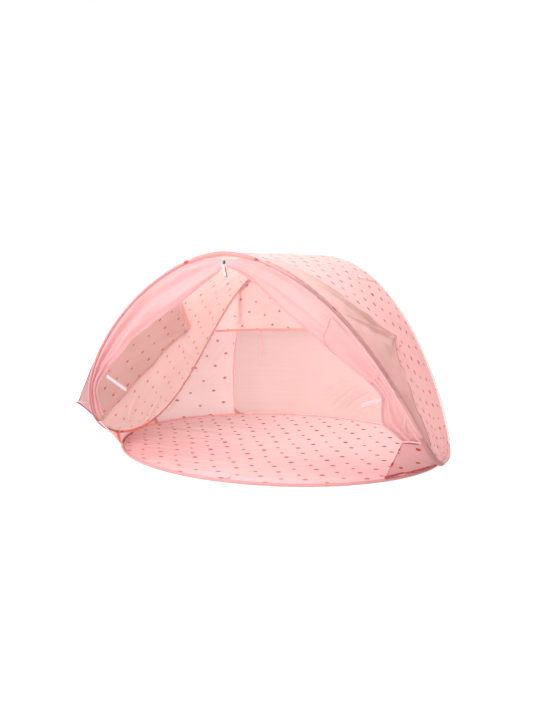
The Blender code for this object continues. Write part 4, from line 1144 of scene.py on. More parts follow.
# its hem
loop = np.concatenate([p[1:, 0], p[-1, 1:-1], p[1:, -1][::-1]])
loop = loop[::1] + np.array([0, 0.0006, 0])
t = unit(np.gradient(loop, axis=0))
e2 = np.tile([0.0, 1.0, 0.0], (len(loop), 1))
e1 = unit(np.cross(e2, t))
finish_piece(sweep("window_cover_hem", loop, e1, e2, flat(0.0080, 0.0016), M_ROSE,
                   size=1 + 0.10 * noise(run_of(loop) / 0.015, 4.5, 133)), "rear_cover", ())


def stud(name, base, nrm, heads, body, node, mat=None):
    """A small moulded post with a domed head, turned round nrm."""
    nrm = unit(np.array(nrm, float))
    ref = np.array([0, 0, 1.0]) if abs(nrm[2]) < 0.9 else np.array([1.0, 0, 0])
    u = unit(np.cross(nrm, ref))
    v = np.cross(nrm, u)
    m = 24
    a = np.arange(m) * 2 * PI / m
    rings = [base + nrm * h + (u[None] * np.cos(a)[:, None] + v[None] * np.sin(a)[:, None]) * r for r, h in heads]
    verts = np.concatenate(rings)
    faces = grid_faces(len(heads), m, wrap_j=True)
    faces = [f[::-1] for f in faces]
    faces += [tuple(range(m)), tuple((len(heads) - 1) * m + k for k in range(m))[::-1]]
    faces = [f[::-1] for f in faces]
    ob = build(name, verts, faces, np.zeros((len(verts), 2)), mat or M_PLASTIC)
    return finish_piece(ob, body, [node])


def ring_loop(name, c, u, v, nrm, r, thick, body, node, mat=None):
    """An elastic loop: a slightly oval twisted ring with its two ends stitched together."""
    a = np.linspace(0, 2 * PI, 60, endpoint=False)
    p = c + u * (r * 1.12 * np.cos(a))[:, None] + v * (r * np.sin(a))[:, None]
    t, e1, e2 = frames_on(p, True, tuple(nrm))
    prof = circle(thick, 10)
    ob = sweep(name, p, e1, e2, prof, mat or M_PALE, closed=True, size=1 + 0.12 * np.sin(9 * a))
    return finish_piece(ob, body, [node])


HEAD = [(0.0046, 0.0), (0.0048, 0.0006), (0.0040, 0.0013), (0.0020, 0.0017), (0.0016, 0.0030), (0.0016, 0.0070),
        (0.0026, 0.0080), (0.0028, 0.0090), (0.0022, 0.0099), (0.0010, 0.0103)]
post_c = np.array([0.0, float(at(LR, np.array(1.0))[1]) + 0.0012, 0.6090])
stud("cover_post", post_c, (0, 1, 0), [(r * 0.9, h * 0.92) for r, h in HEAD], "tent", "rear_cover_button")
ring_loop("cover_elastic_loop", np.array([0, COVER_Y + 0.0012, 0.6085]), np.array([0, 0, 1.0]), np.array([1.0, 0, 0]),
          (0, 1, 0), 0.0046, 0.0009, "rear_cover", "rear_cover_loop")

# short strap inside the window
sx, sy = -0.190, SEAM_Y - 0.0050
zz = np.linspace(SEAM_Z - 0.0005, SEAM_Z - 0.0955, 50)
path = np.stack([sx + 0.0012 * noise(zz / 0.05, 0.5, 141), sy + 0.0006 * noise(zz / 0.04, 2.5, 142), zz], 1)
e1 = np.tile([1.0, 0, 0], (len(path), 1))
e2 = np.tile([0, -1.0, 0], (len(path), 1))
finish_piece(sweep("window_strap_ribbon", path, e1, e2, flat(0.0058, 0.0010), M_STRAP), "rear_strap",
             ["rear_window_strap"])

# ------------------------------------------------------------------ front corners
def gusset(side, top_s, drop_x, rim_from, rim_to):
    s = np.linspace(0.115, top_s, 60)
    P = at(LF, s)
    d = np.array([0.0, -FLOOR_B, 0.02]) - P
    t = tangent(LF, s)
    d = unit(d - t * (d * t).sum(-1, keepdims=True))
    hoop = P + d * EDGE * 1.05
    top_in = hoop[-1] + np.array([-drop_x, -0.004, 0.0])
    v = np.linspace(0, 1, 60)
    u = np.linspace(0, 1, 50)
    th = np.radians(rim_from + (rim_to - rim_from) * u)
    rim = np.stack([FLOOR_A * np.cos(th), FLOOR_B * np.sin(th), np.full_like(th, FLOOR_Z + 0.0046)], -1)
    low_h = rim[0]
    top = hoop[-1] * (1 - u[:, None]) + top_in * u[:, None]
    p = rim[None] * (1 - v[:, None, None]) + top[None] * v[:, None, None]
    lean = hoop - (low_h * (1 - v[:, None]) + hoop[-1] * v[:, None])
    p = p + lean[:, None] * (1 - u[None, :, None])
    return p, u, v


gussets = {}
for side, name, args, mat, slot in ((1, "right", (7 / 24, 0.053, -19.0, -38.5), M_GUSSET, "dotted_fabric"),
                                    (-1, "left", (6 / 24, 0.012, -19.0, -30.0), M_GUSSET_L_LIT, "plain_fabric")):
    p, u, v = gusset(side, *args)
    V, U = np.meshgrid(v, u, indexing="ij")
    nn = normals(p)
    nn = nn * np.sign((nn * np.array([0.3, -1.0, 0])).sum(-1, keepdims=True))
    wid = np.linalg.norm(p[:, -1] - p[:, 0], axis=1)[:, None]
    du, dv = U * wid, V * 0.15
    k0 = 151 if side > 0 else 156
    d = 0.0016 * fbm(du / 0.05, dv / 0.06, k0) * np.minimum(1, 8 * U * (1 - U) + 0.2)
    d = d + pucker(du, dv, 0.0014, 0.017, 0.014, k0 + 1) + fold(du, dv, (0.02, 0.02), (0.08, 0.13), 0.0022, 0.008)
    p = p + nn * d[..., None]
    if side < 0:
        p, nn = p * FLIP, nn * FLIP
    uv = np.stack([du + 0.007 + 20.5 * DOT_P, dv + 0.01 + 20.5 * DOT_Q], -1)
    ob = grid(name + "_gusset_sheet", p, uv, mat, outward=nn)
    finish_piece(ob, "tent", [name + "_corner_gusset"])
    gussets[name] = p
    # rolled hem on the free edge and along the top, thicker hem at the floor
    # the left gusset's hems take lighter tapes than the right's: painted light against the shade there
    edge = p[:, -1]
    finish_piece(tube(name + "_gusset_edge_hem", edge, 0.0015 if side > 0 else 0.0012, M_EDGE if side > 0 else M_SEAM, 10, rough=0.30, k=k0 + 3),
                 "tent", ())
    topl = p[-1]
    finish_piece(tube(name + "_gusset_top_hem", topl, 0.0020, M_EDGE if side > 0 else M_HEM_LIT, 10, rough=0.30, k=k0 + 4), "tent", ())
    lowl = p[0] + np.array([0, -0.0038, 0.0042])
    finish_piece(tube(name + "_gusset_floor_hem", lowl, (0.0036 if side > 0 else 0.0030) + (0.0030 if side > 0 else 0.0018) * smooth(1 - u / 0.75), M_HEM_RED if side > 0 else M_HEM_LIT, 10, rough=0.16, k=k0 + 5,
                      low=0.0012), "tent", ())

# print dots that wrap over the hem of the right gusset
edge = gussets["right"][:, -1]
for n, (at_v, long_, wide) in enumerate(((0.40, 0.0150, 0.0030), (0.80, 0.0100, 0.0024))):
    g = np.linspace(-0.5, 0.5, 20)
    path = np.stack([np.interp(at_v + g * long_ / 0.13, np.linspace(0, 1, len(edge)), edge[:, a]) for a in range(3)], 1)
    finish_piece(tube("gusset_hem_dot_%d" % (n + 1), path + np.array([0, -0.0006, 0]), wide * (1 - (2 * g) ** 4 * 0.75), M_HEMDOT, 10, k=158 + n),
                 "tent", ())

# ------------------------------------------------------------------ crescent above the zip
q = np.linspace(0.905, 2 - 0.905, 120)
fp = at(LF, q)
aim = np.stack([0 * q, np.full_like(q, fp[60, 1]), 0.3 + 0 * q], -1)
tt = unit(np.gradient(fp, axis=0))
dd = unit((aim - fp) - tt * ((aim - fp) * tt).sum(-1, keepdims=True))
top_edge = fp + dd * EDGE
lowz = np.minimum(0.6165, top_edge[:, 2] - 0.0015)
low_edge = top_edge.copy()
low_edge[:, 2] = lowz
v = np.linspace(0, 1, 26)
p = top_edge[:, None] * (1 - v[None, :, None]) + low_edge[:, None] * v[None, :, None]
X, Z = p[..., 0], p[..., 2]
hang = (p[:, :1, 2] - p[..., 2])
d = 0.0012 * fbm(X / 0.05, Z / 0.03, 161) * np.clip(hang / 0.01, 0, 1)
for fa, fb in (((-0.13, 0.616), (-0.004, 0.618)), ((-0.08, 0.624), (-0.004, 0.619)), ((0.12, 0.616), (0.004, 0.618)),
               ((0.06, 0.626), (0.003, 0.620)), ((-0.03, 0.629), (-0.002, 0.621))):
    d = d + fold(X, Z, fa, fb, 0.0024, 0.0040, 0.25)
p = p + np.array([0, -1.0, 0]) * (np.abs(d) * 0.8)[..., None]
topp = grid("front_top_sheet", p, np.stack([X, Z], -1), M_TOP, outward=np.array([0, -1.0, 0]))
finish_piece(topp, "tent", ["front_top_panel"])

# rose band over the crest of the front arch, with a stitched end each side
q = np.linspace(0.9125, 2 - 0.8975, 90)
fp = at(LF, q)
tt = unit(np.gradient(fp, axis=0))
up = unit(np.array([0, 0, 1.0]) - tt * tt[:, 2:3])
fw = unit(np.array([0, -1.0, 0]) - tt * (tt @ np.array([0, -1.0, 0]))[:, None])
fp = fp - up * 0.0014
r = 0.0049
outer = [(r * 1.02, -0.0046), (r * 1.10, -0.0024), (r * 1.12, 0.0)]
outer += [(r * 1.12 * math.cos(a), r * 1.12 * math.sin(a)) for a in np.radians([22, 45, 68, 90, 112, 132])]
inner = [(x * 0.80 if y > -0.001 else x - 0.0010, y * 0.80 if y > -0.001 else y) for x, y in outer][::-1]
ends = 1 - 0.18 * np.clip(1 - np.minimum(np.arange(90), 89 - np.arange(90)) / 8.0, 0, 1)
finish_piece(sweep("apex_brow_band", fp, fw, up, outer + inner, M_BAND,
                   size=ends * (1 + 0.03 * noise(run_of(fp) / 0.02, 0.5, 171))), "tent", ["apex_band"])
piping = (fp + up * (r * 1.04) + fw * 0.0020)[6:-6]
finish_piece(tube("apex_band_piping", piping, 0.0008, M_LINE, 8, rough=0.2, k=172), "tent", ())
for side, s, name in ((1, 0.9125, "right"), (-1, 0.8975, "left")):
    c = at(LF, np.array(s))
    t0 = tangent(LF, np.array(s))
    u0 = unit(np.array([0, 0, 1.0]) - t0 * t0[2])
    f0 = unit(np.array([0, -1.0, 0]) - t0 * (t0 @ np.array([0, -1.0, 0])))
    k = np.linspace(-1, 1, 26)
    path = c + t0 * ((0.0052 if side > 0 else 0.0066) * k)[:, None] + (f0 * 0.0058 + u0 * 0.0006)
    if side < 0:
        path, u0, f0 = path * FLIP, u0 * FLIP, f0 * FLIP
    e1 = np.tile(u0, (26, 1))
    e2 = np.tile(f0, (26, 1))
    prof = [(-0.0034, -0.0004), (0.0034, -0.0004), (0.0036, 0.0004), (0.0016, 0.0011), (-0.0016, 0.0011), (-0.0036, 0.0004)]
    finish_piece(sweep("brow_band_stitch_%s" % name, path, e1, e2, prof, M_THREAD,
                       size=(1 - 0.25 * k ** 4) * (1 + 0.07 * np.where(np.arange(26) % 2 == 0, 1, -1))), "tent", ())

# ------------------------------------------------------------------ gathered mesh curtains
INNER = {1: [(0.0078, 0.6000), (0.0176, 0.5960), (0.0353, 0.5900), (0.0529, 0.5806), (0.0761, 0.5645), (0.1049, 0.5433),
             (0.1334, 0.5196), (0.171, 0.486), (0.241, 0.430), (0.285, 0.394), (0.334, 0.352), (0.387, 0.309), (0.422, 0.275),
             (0.4322, 0.2503), (0.4265, 0.2148), (0.4262, 0.1790), (0.4470, 0.1550), (0.4658, 0.1335), (0.474, 0.1240)],
         -1: [(0.0078, 0.5960), (0.0187, 0.5833), (0.0341, 0.5724), (0.0528, 0.5587), (0.0748, 0.5448), (0.149, 0.494),
              (0.212, 0.452), (0.270, 0.413), (0.3094, 0.3853), (0.354, 0.338), (0.3954, 0.305), (0.4314, 0.2678),
              (0.4519, 0.2451), (0.473, 0.2055), (0.4783, 0.1735), (0.4946, 0.1237)]}


def spline(pts, n):
    """Even points on a smooth curve through pts (Catmull-Rom)."""
    pts = np.asarray(pts, float)
    ext = np.vstack([2 * pts[0] - pts[1], pts, 2 * pts[-1] - pts[-2]])
    out = []
    for i in range(1, len(ext) - 2):
        p0, p1, p2, p3 = ext[i - 1:i + 3]
        t = np.linspace(0, 1, 24, endpoint=False)[:, None]
        out.append(0.5 * (2 * p1 + (p2 - p0) * t + (2 * p0 - 5 * p1 + 4 * p2 - p3) * t ** 2
                          + (3 * p1 - p0 - 3 * p2 + p3) * t ** 3))
    out = np.vstack(out + [pts[-1:]])
    run = run_of(out)
    q = np.linspace(0, run[-1], n)
    return np.stack([np.interp(q, run, out[:, k]) for k in range(out.shape[1])], 1)


def curtain_edges(side, n):
    """Matching points on the arch and on the curtain's inner edge, apex first."""
    inner = spline(INNER[side], n)
    inner = np.stack([inner[:, 0], y_at(inner[:, 1]), inner[:, 1]], 1)
    k = np.linspace(0, 1, n)
    s = 0.998 - (0.998 - 0.285) * (0.12 * k ** 2 + 0.88 * k)
    arch = at(LF, s)
    d = toward(LF, s, np.stack([0 * s, np.full_like(s, -0.40), np.full_like(s, 0.30)], -1))
    outer = arch + d * (EDGE + 0.0010)
    # near the crest the curtain starts under the crescent panel
    lim = 0.6185
    high = outer[:, 2] > lim
    outer[high, 2] = lim - 0.0006 * (outer[high, 2] - lim) / 0.03
    outer[:, 0] = np.maximum(outer[:, 0], 0.0072)
    return outer, inner, k


def curtain(side, name, mat, nf):
    n, m = 260, 70
    outer, inner, k = curtain_edges(side, n)
    c = np.linspace(0, 1, m)
    C, K = np.meshgrid(c, k)
    p = outer[:, None] * (1 - c[None, :, None]) + inner[:, None] * c[None, :, None]
    width = np.linalg.norm(inner - outer, axis=1)[:, None]
    run = run_of(inner)[:, None]
    k0 = 181 if side > 0 else 201
    # long soft folds that run with the edge and crowd together at the tie
    drift = 0.35 * noise(K * 3.1, 0.5, k0) + 0.20 * noise(K * 7.3, 2.5, k0 + 1)
    w1 = np.sin(2 * PI * (C * nf + drift + 0.30 * K))
    w2 = np.sin(2 * PI * (C * nf * 2.2 - 0.5 * drift + 0.8 * K) + 1.3)
    tie = np.exp(-((K - 0.70) / 0.16) ** 2)
    amp = (0.0042 + 0.0020 * noise(K * 4.7, 1.5, k0 + 2)) * (1 + 0.35 * tie)
    env = smooth(K / 0.10) * (0.25 + 0.75 * smooth(C / 0.18)) * (0.35 + 0.65 * smooth((1 - C) / 0.12))
    d = env * (amp * w1 + 0.0009 * w2 + 0.0028 * fbm(K * 6, C * 1.6, k0 + 3))
    d = d + 0.0012 * tie * np.sin(2 * PI * C * 4.0 + 4 * K)
    if side > 0:
        # fuller folds where the cloth gathers at the foot
        d = d + 0.0044 * smooth((K - 0.78) / 0.10) * smooth(C / 0.2) * np.sin(2 * PI * (C * 1.9 + 0.25 * noise(K * 9, 0.5, k0 + 9)))
    fwd = np.array([0, -1.0, 0.12])
    p = p + unit(fwd) * (d + 0.0012)[..., None]
    uv = np.stack([run * (1 + 0 * C), C * width * 1.5], -1)
    if side < 0:
        p = p * FLIP
    ob = grid(name, p, uv, mat, outward=np.array([0, -1.0, 0]))
    return ob, p, area_of(p)


curtains = {}
for side, name, mat, nf in ((1, "right", M_CURTAIN_R, 1.7), (-1, "left", M_CURTAIN_L, 1.5)):
    ob, p, area = curtain(side, name + "_curtain_net", mat, nf)
    finish_piece(ob, "tent", [name + "_mesh_curtain"])
    curtains[name] = p

# the doubled part of the right curtain, folded over toward the door
p0 = curtains["right"]
outer, inner, k = curtain_edges(1, 260)
rows, cols = 130, 34
KK = np.linspace(0.44, 0.715, rows)
CC = np.linspace(0.0, 1.0, cols)
K, C = np.meshgrid(KK, CC, indexing="ij")
# its upper edge slants and its corner is rounded
c_lo = 0.18 + 0 * K
i = np.clip(K * 259, 0, 258.999)
i0 = i.astype(int)
f = (i - i0)[..., None]


def on_curtain(kk, cc):
    """Point of the right curtain's undraped surface."""
    x = np.clip(kk * 259, 0, 258.999)
    a = x.astype(int)
    g = (x - a)[..., None]
    o = outer[a] * (1 - g) + outer[a + 1] * g
    q = inner[a] * (1 - g) + inner[a + 1] * g
    return o * (1 - cc[..., None]) + q * cc[..., None]


slant = 0.470 + 0.012 * C + 0.036 * smooth((C - 0.72) / 0.28) ** 2
Kf = slant + (0.715 - slant) * (K - 0.44) / (0.715 - 0.44)
Cf = 0.12 + 0.90 * C
d = 0.0052 + 0.0016 * np.sin(2 * PI * (C * 1.6 + 0.4 * noise(Kf * 5, 0.5, 221))) + 0.0008 * fbm(Kf * 14, C * 2, 222)
d = d * smooth((K - 0.43) / 0.02) ** 0.5
p = on_curtain(Kf, Cf) + unit(np.array([0, -1.0, 0.12])) * (d + 0.0030)[..., None]
uv = np.stack([Kf * 0.85, C * 0.08], -1)
dbl = grid("right_curtain_fold", p, uv, M_CURTAIN_R, outward=np.array([0, -1.0, 0]))
finish_piece(dbl, "tent", ())
hem = spline(np.concatenate([p[0, 1::4], p[2:26:5, -1]]) + np.array([0, -0.0006, 0]), 90)
finish_piece(tube("right_curtain_fold_hem", hem, 0.0011, M_NETHEM, 8, rough=0.2, k=223), "tent", ())

# zip tapes and their coils on the inner edges
for side, name in ((1, "right"), (-1, "left")):
    p = curtains[name]
    edge = p[:, -1]
    q = spline(edge[::6], 520)
    t = unit(np.gradient(q, axis=0))
    nrm = np.tile(unit(np.array([0, -1.0, 0.12])), (len(q), 1))
    across = unit(np.cross(t, nrm))
    inward = np.array([0, 0, 0.30]) - q
    across = across * np.sign((across * inward).sum(-1, keepdims=True))
    base = q + across * 0.0006
    e1, e2 = across, nrm
    finish_piece(sweep(name + "_zip_tape_strip", base, e1, e2,
                       [(-0.0040, -0.0004), (0.0016, -0.0004), (0.0018, 0.0), (0.0016, 0.0004), (-0.0040, 0.0004),
                        (-0.0042, 0.0)], M_ZIP), "tent", [name + "_zip_tape"])
    run = run_of(q)
    turns = int(run[-1] / 0.0022)
    m = turns * 5
    rr = np.linspace(0.004, run[-1] - 0.004, m)
    cp = np.stack([np.interp(rr, run, (q + across * 0.0022)[:, k]) for k in range(3)], 1)
    ca = np.stack([np.interp(rr, run, across[:, k]) for k in range(3)], 1)
    cn = np.stack([np.interp(rr, run, nrm[:, k]) for k in range(3)], 1)
    ph = rr / 0.0022 * 2 * PI
    coil = cp + ca * (0.0008 * np.cos(ph))[:, None] + cn * (0.0008 * np.sin(ph))[:, None]
    t, f1, f2 = frames_on(coil)
    finish_piece(sweep(name + "_zip_coil", coil, f1, f2, circle(0.00035, 4), M_COIL), "tent", ())

# ------------------------------------------------------------------ zip slider, puller and ribbon
ZX, ZY, ZZ = 0.0, float(at(LF, np.array(1.0))[1]), 0.6100


def box_loft(name, sections, mat):
    """A closed solid through matching rings of points."""
    m = len(sections[0])
    verts = np.concatenate([np.asarray(s, float) for s in sections])
    faces = grid_faces(len(sections), m, wrap_j=True)
    faces += [tuple(range(m))[::-1], tuple((len(sections) - 1) * m + k for k in range(m))]
    c0 = np.asarray(sections[0]).mean(0)
    c1 = np.asarray(sections[-1]).mean(0)
    s = np.asarray(sections[0])
    nn = np.zeros(3)
    for k in range(m):
        nn += np.cross(s[k] - c0, s[(k + 1) % m] - c0)
    if nn @ (c1 - c0) < 0:
        faces = [f[::-1] for f in faces]
    return build(name, verts, faces, verts[:, [0, 2]], mat)


def plate(y, half_w, z, r=0.0006, t=0.0012):
    out = []
    for (sx_, sy_) in ((-1, -1), (1, -1), (1, 1), (-1, 1)):
        for a in (0, 45, 90):
            base = {(-1, -1): 180, (1, -1): 270, (1, 1): 0, (-1, 1): 90}[(sx_, sy_)]
            ang = math.radians(base + a)
            out.append((ZX + sx_ * (half_w - r) + r * math.cos(ang), y + sy_ * (t / 2 - r * 0.6) + r * 0.6 * math.sin(ang), z))
    return out


def joined(name, parts, mat):
    """One object from several closed solids that touch."""
    verts, faces, uvs, off = [], [], [], 0
    for ob in parts:
        me = ob.data
        verts += [tuple(v.co) for v in me.vertices]
        faces += [tuple(off + i for i in f.vertices) for f in me.polygons]
        off += len(me.vertices)
        bpy.data.objects.remove(ob)
    v = np.asarray(verts)
    return build(name, v, faces, v[:, [0, 2]] if len(v) else None, mat)


sections = lambda y: [plate(y, w, ZZ + h) for w, h in ((0.0015, 0.0052), (0.0027, 0.0046), (0.0033, 0.0030), (0.0034, 0.0008),
                                                      (0.0036, -0.0014), (0.0026, -0.0036), (0.0022, -0.0048), (0.0014, -0.0052))]
front_plate = box_loft("t1", sections(ZY - 0.0020), M_ZIPMETAL)
back_plate = box_loft("t2", sections(ZY + 0.0020), M_ZIPMETAL)
post = box_loft("t3", [[(ZX + 0.0011 * math.cos(a), y, ZZ + 0.0034 + 0.0011 * math.sin(a)) for a in np.linspace(0, 2 * PI, 12, endpoint=False)]
                       for y in (ZY - 0.0016, ZY, ZY + 0.0016)], M_ZIPMETAL)
slider = joined("zip_slider_body", [front_plate, back_plate, post], M_ZIPMETAL)
finish_piece(slider, "slider", ["zip_slider"])
PULL_Y, PULL_Z = ZY - 0.0055 / 2 - 0.0010, ZZ + 0.0030
RIB_Z = PULL_Z - 0.00935
RIB_LEAN = 0.0060
# the bail that holds the puller
a = np.linspace(-0.15 * PI, 1.15 * PI, 30)
bail = np.stack([0 * a + ZX, ZY - 0.0024 - 0.0017 * np.sin(a), ZZ + 0.0024 + 0.0022 * np.cos(a)], 1)
t, f1, f2 = frames_on(bail, ref=(1, 0, 0))
finish_piece(sweep("zip_slider_bail", bail, f1, f2, flat(0.0016, 0.0006), M_ZIPMETAL), "slider", ())
# puller: a slim plate, wider at each end
hw = [(0.0016, 0.0003), (0.0024, -0.0005), (0.0026, -0.0018), (0.0020, -0.0032), (0.0019, -0.0056), (0.0024, -0.0072),
      (0.0026, -0.0085), (0.0018, -0.0092)]
secs = []
for w, h in hw:
    secs.append([(ZX + sx_ * w, PULL_Y + sy_, PULL_Z + h) for sx_, sy_ in ((-1, -0.0002), (-0.8, -0.0005), (0.8, -0.0005), (1, -0.0002),
                                                                     (1, 0.0002), (0.8, 0.0005), (-0.8, 0.0005), (-1, 0.0002))])
finish_piece(box_loft("zip_puller_plate", secs, M_ZIPMETAL), "puller", ["zip_puller"])
# ribbon: looped through the puller, front layer pale, rear layer dark
zz = np.linspace(RIB_Z + 0.0002, RIB_Z - 0.0345, 46)
k = np.linspace(0, 1, 46)
for name, mat, off, dx, w, nodes in (("zip_ribbon_front", M_RIBBON, -0.0007, -0.0006, 0.0070, ["zip_ribbon"]),
                                     ("zip_ribbon_back", M_MAROON, 0.0006, 0.0012, 0.0066, ())):
    bow = 0.0016 * np.sin(PI * k) * (1 if off < 0 else 0.5)
    path = np.stack([ZX + dx * smooth(k / 0.3) + RIB_LEAN * k + 0.0012 * k ** 2 * (1 if off > 0 else 0.7), PULL_Y + off * smooth(k / 0.15) - bow * 0.6,
                     zz], 1)
    e1 = np.tile([1.0, 0, 0], (46, 1))
    e2 = np.tile([0, -1.0, 0], (46, 1))
    sz = 0.55 + 0.45 * smooth(k / 0.22)
    finish_piece(sweep(name, path, e1, e2, flat(w, 0.0006), mat, size=sz), "ribbon", nodes)
k = np.linspace(-1, 1, 16)
path = np.stack([ZX + 0.0002 + RIB_LEAN * 0.94 + 0.0028 * k, np.full(16, PULL_Y - 0.0014), np.full(16, RIB_Z - 0.0325)], 1)
finish_piece(sweep("zip_ribbon_stitch", path, np.tile([0, 0, 1.0], (16, 1)), np.tile([0, -1.0, 0], (16, 1)), flat(0.0014, 0.0006),
                   M_THREAD), "ribbon", ())


# ------------------------------------------------------------------ door flaps, folded back over the side walls
REACH = {1: [(0.262, 0.010), (0.286, 0.045), (0.336, 0.096), (0.385, 0.171), (0.426, 0.257), (0.458, 0.285), (0.489, 0.312),
             (0.515, 0.375), (0.540, 0.480), (0.553, 0.554), (0.585, 0.465), (0.620, 0.377), (0.655, 0.310), (0.689, 0.250),
             (0.746, 0.189), (0.795, 0.128), (0.866, 0.090), (0.906, 0.006)],
         -1: [(0.245, 0.022), (0.2573, 0.0576), (0.2777, 0.1178), (0.3077, 0.193), (0.3431, 0.2957), (0.3914, 0.3935),
              (0.4215, 0.4660), (0.4794, 0.5350), (0.5041, 0.5890), (0.530, 0.645), (0.547, 0.692), (0.610, 0.560), (0.673, 0.425), (0.730, 0.320), (0.795, 0.200), (0.870, 0.090),
              (0.906, 0.006)]}
TIP_VIS = {1: (0.553, 0.554), -1: (0.547, 0.692)}
POST_AT = {1: (0.526, 0.505), -1: (0.520, 0.662)}


def flap_lift(s, t, side):
    """Distance of the flap's cloth from the wall: loose, with folds that meet at the tip."""
    w = wall_width(s)
    u, v = s * SIDE_LEN, t * w
    tip = TIP_VIS[side]
    tu, tv = tip[0] * SIDE_LEN, tip[1] * float(wall_width(np.array(tip[0])))
    k0 = 231 if side > 0 else 241
    ang = np.arctan2(u - tu, tv - v)
    dist = np.hypot(u - tu, v - tv)
    d = 0.0062 + 0.0034 * smooth(v / 0.05)
    rays = np.sin(ang * 11 + 1.4 * noise(dist / 0.12, ang * 2, k0)) * 0.6 + 0.4 * np.sin(ang * 19 + 2.0 + noise(dist / 0.07, 0.5, k0 + 1))
    d = d + 0.0040 * rays * smooth(dist / 0.07) * smooth(v / 0.045) * (1 - 0.4 * smooth(dist / 0.45))
    d = d + 0.0026 * fbm(u / 0.07, v / 0.09, k0 + 2) * smooth(v / 0.03)
    for a, b, amp, wd, bow in (((tu, tv - 0.03), (tu + 0.26, 0.03), 0.0056, 0.008, 0.012),
                               ((tu - 0.01, tv - 0.06), (tu + 0.14, 0.02), 0.0050, 0.008, -0.008),
                               ((tu - 0.02, tv - 0.05), (tu - 0.16, 0.03), 0.0034, 0.008, 0.006),
                               ((tu + 0.02, tv - 0.10), (tu + 0.34, 0.03), 0.0040, 0.007, 0.010)):
        d = d + fold(u, v, a, b, amp, wd, 0.25, bow) * smooth(v / 0.03)
    return np.maximum(d, 0.0026)


def flap_surface(side, rows=230, cols=64, a=0.0, b=1.0, more=0.0):
    tab = np.array(REACH[side])
    s = np.sort(np.r_[np.linspace(tab[0, 0], tab[-1, 0], rows - 1), TIP_VIS[side][0]])
    reach = np.interp(s, tab[:, 0], tab[:, 1])
    j = np.linspace(a, b, cols)
    S = np.repeat(s[:, None], cols, 1)
    T = 0.002 + (reach[:, None] - 0.002) * j[None]
    p, n = wall_frame(S, T)
    w = wall_width(S)
    lift = wall_relief(S, T, side) + flap_lift(S, T, side) + more
    p = p + n * lift[..., None]
    uv = np.stack([S * SIDE_LEN, T * w], -1)
    if side < 0:
        p, n = p * FLIP, n * FLIP
    return p, n, uv, s, reach


# the arch line lies within 33 mm of one plane; flap_blend keeps each flap piece where it is and only bakes its
# transform
A3 = [np.array([0.537, -0.258, 0.105]), np.array([0.442, -0.373, 0.317]), np.array([0.11, -0.392, 0.611])]
PLANE_N = unit(np.cross(A3[1] - A3[0], A3[2] - A3[0]))
if PLANE_N[1] < 0:
    PLANE_N = -PLANE_N


def flap_blend(ob, side):
    base = (A3[0] + A3[1] + A3[2]) / 3
    if side < 0:
        base = base * FLIP
    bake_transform(ob)


for side, name in ((1, "right"), (-1, "left")):
    p, n, uv, s, reach = flap_surface(side)
    ob = grid(name + "_flap_sheet", p, uv, M_FLAP_R if side > 0 else M_FLAP_L, outward=n)
    flap_blend(ob, side)
    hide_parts(name + "_door_flap")
    # edges: a salmon end tape by the tip, a thin stitched seam on the rest
    edge, en = p[:, -1], n[:, -1]
    i_tip = int(np.argmin(np.abs(s - TIP_VIS[side][0])))
    i_top = int(np.argmin(np.abs(s - (0.622 if side > 0 else 0.673))))
    t = unit(np.gradient(edge, axis=0))
    for tag, lo, hi, wd, th, mat in (("end_tape", i_tip, i_top, 0.0070, 0.0016, M_END), ("lower_seam", 0, i_tip, 0.0034, 0.0014, M_EDGE),
                                     ("upper_seam", i_top, len(s) - 1, 0.0030, 0.0010, M_PALE)):
        seg = edge[lo:hi + 1]
        q = spline(seg[::max(1, len(seg) // 24)], max(30, len(seg)))
        tq = unit(np.gradient(q, axis=0))
        nq = np.stack([np.interp(np.linspace(0, 1, len(q)), np.linspace(0, 1, len(seg)), en[lo:hi + 1, k]) for k in range(3)], 1)
        nq = unit(nq - tq * (nq * tq).sum(-1, keepdims=True))
        ac = np.cross(tq, nq)
        ob = sweep("%s_flap_%s" % (name, tag), q + nq * 0.0004, ac, nq, flat(wd, th), mat,
                   size=1 + 0.08 * noise(run_of(q) / 0.012, 0.5, 251))
        flap_blend(ob, side)
    # post on the wall, elastic loop on the tip
    cs, ct = POST_AT[side]
    bp, bn = wall_frame(np.array(cs), np.array(ct))
    a1, a0 = wall_base(np.array(cs), np.array(1.0)), wall_base(np.array(cs), np.array(0.0))
    along = unit(a1 - a0)
    if side < 0:
        bp, bn, along = bp * FLIP, bn * FLIP, along * FLIP
    crossd = np.cross(bn, along)
    stud(name + "_flap_post", bp + bn * (0.0008 + 0.0004 + float(np.maximum(wall_relief(np.array(cs), np.array(ct), side), 0))), bn, HEAD,
         "tent", name + "_flap_button", M_BUTTON)
    tip_p = p[i_tip, -1]
    post_p = bp + bn * 0.0052
    gap = post_p - tip_p
    ux = unit(gap)
    length = float(np.linalg.norm(gap)) + 0.0026
    a = np.linspace(0, 2 * PI, 80, endpoint=False)
    ct_, st_ = np.cos(a), np.sin(a)
    px = np.where(ct_ > 0, length + 0.0012 * ct_, 0.006 * 0 + 0.0) + np.where(ct_ <= 0, (1 + ct_) * length, 0)
    uy = unit(np.cross(bn, ux))
    mid = tip_p + ux * (length / 2)
    path = mid + ux * ((length / 2 + 0.0010) * np.sign(ct_) * np.abs(ct_) ** 0.55)[:, None] + uy * (0.0027 * st_)[:, None] + bn * 0.0006
    t, f1, f2 = frames_on(path, True, tuple(bn))
    lp = sweep(name + "_flap_elastic", path, f1, f2, circle(0.0011, 10), M_ROSE, closed=True,
               size=1 + 0.10 * np.sin(14 * a))
    finish_piece(lp, name + "_flap", [name + "_flap_loop"])

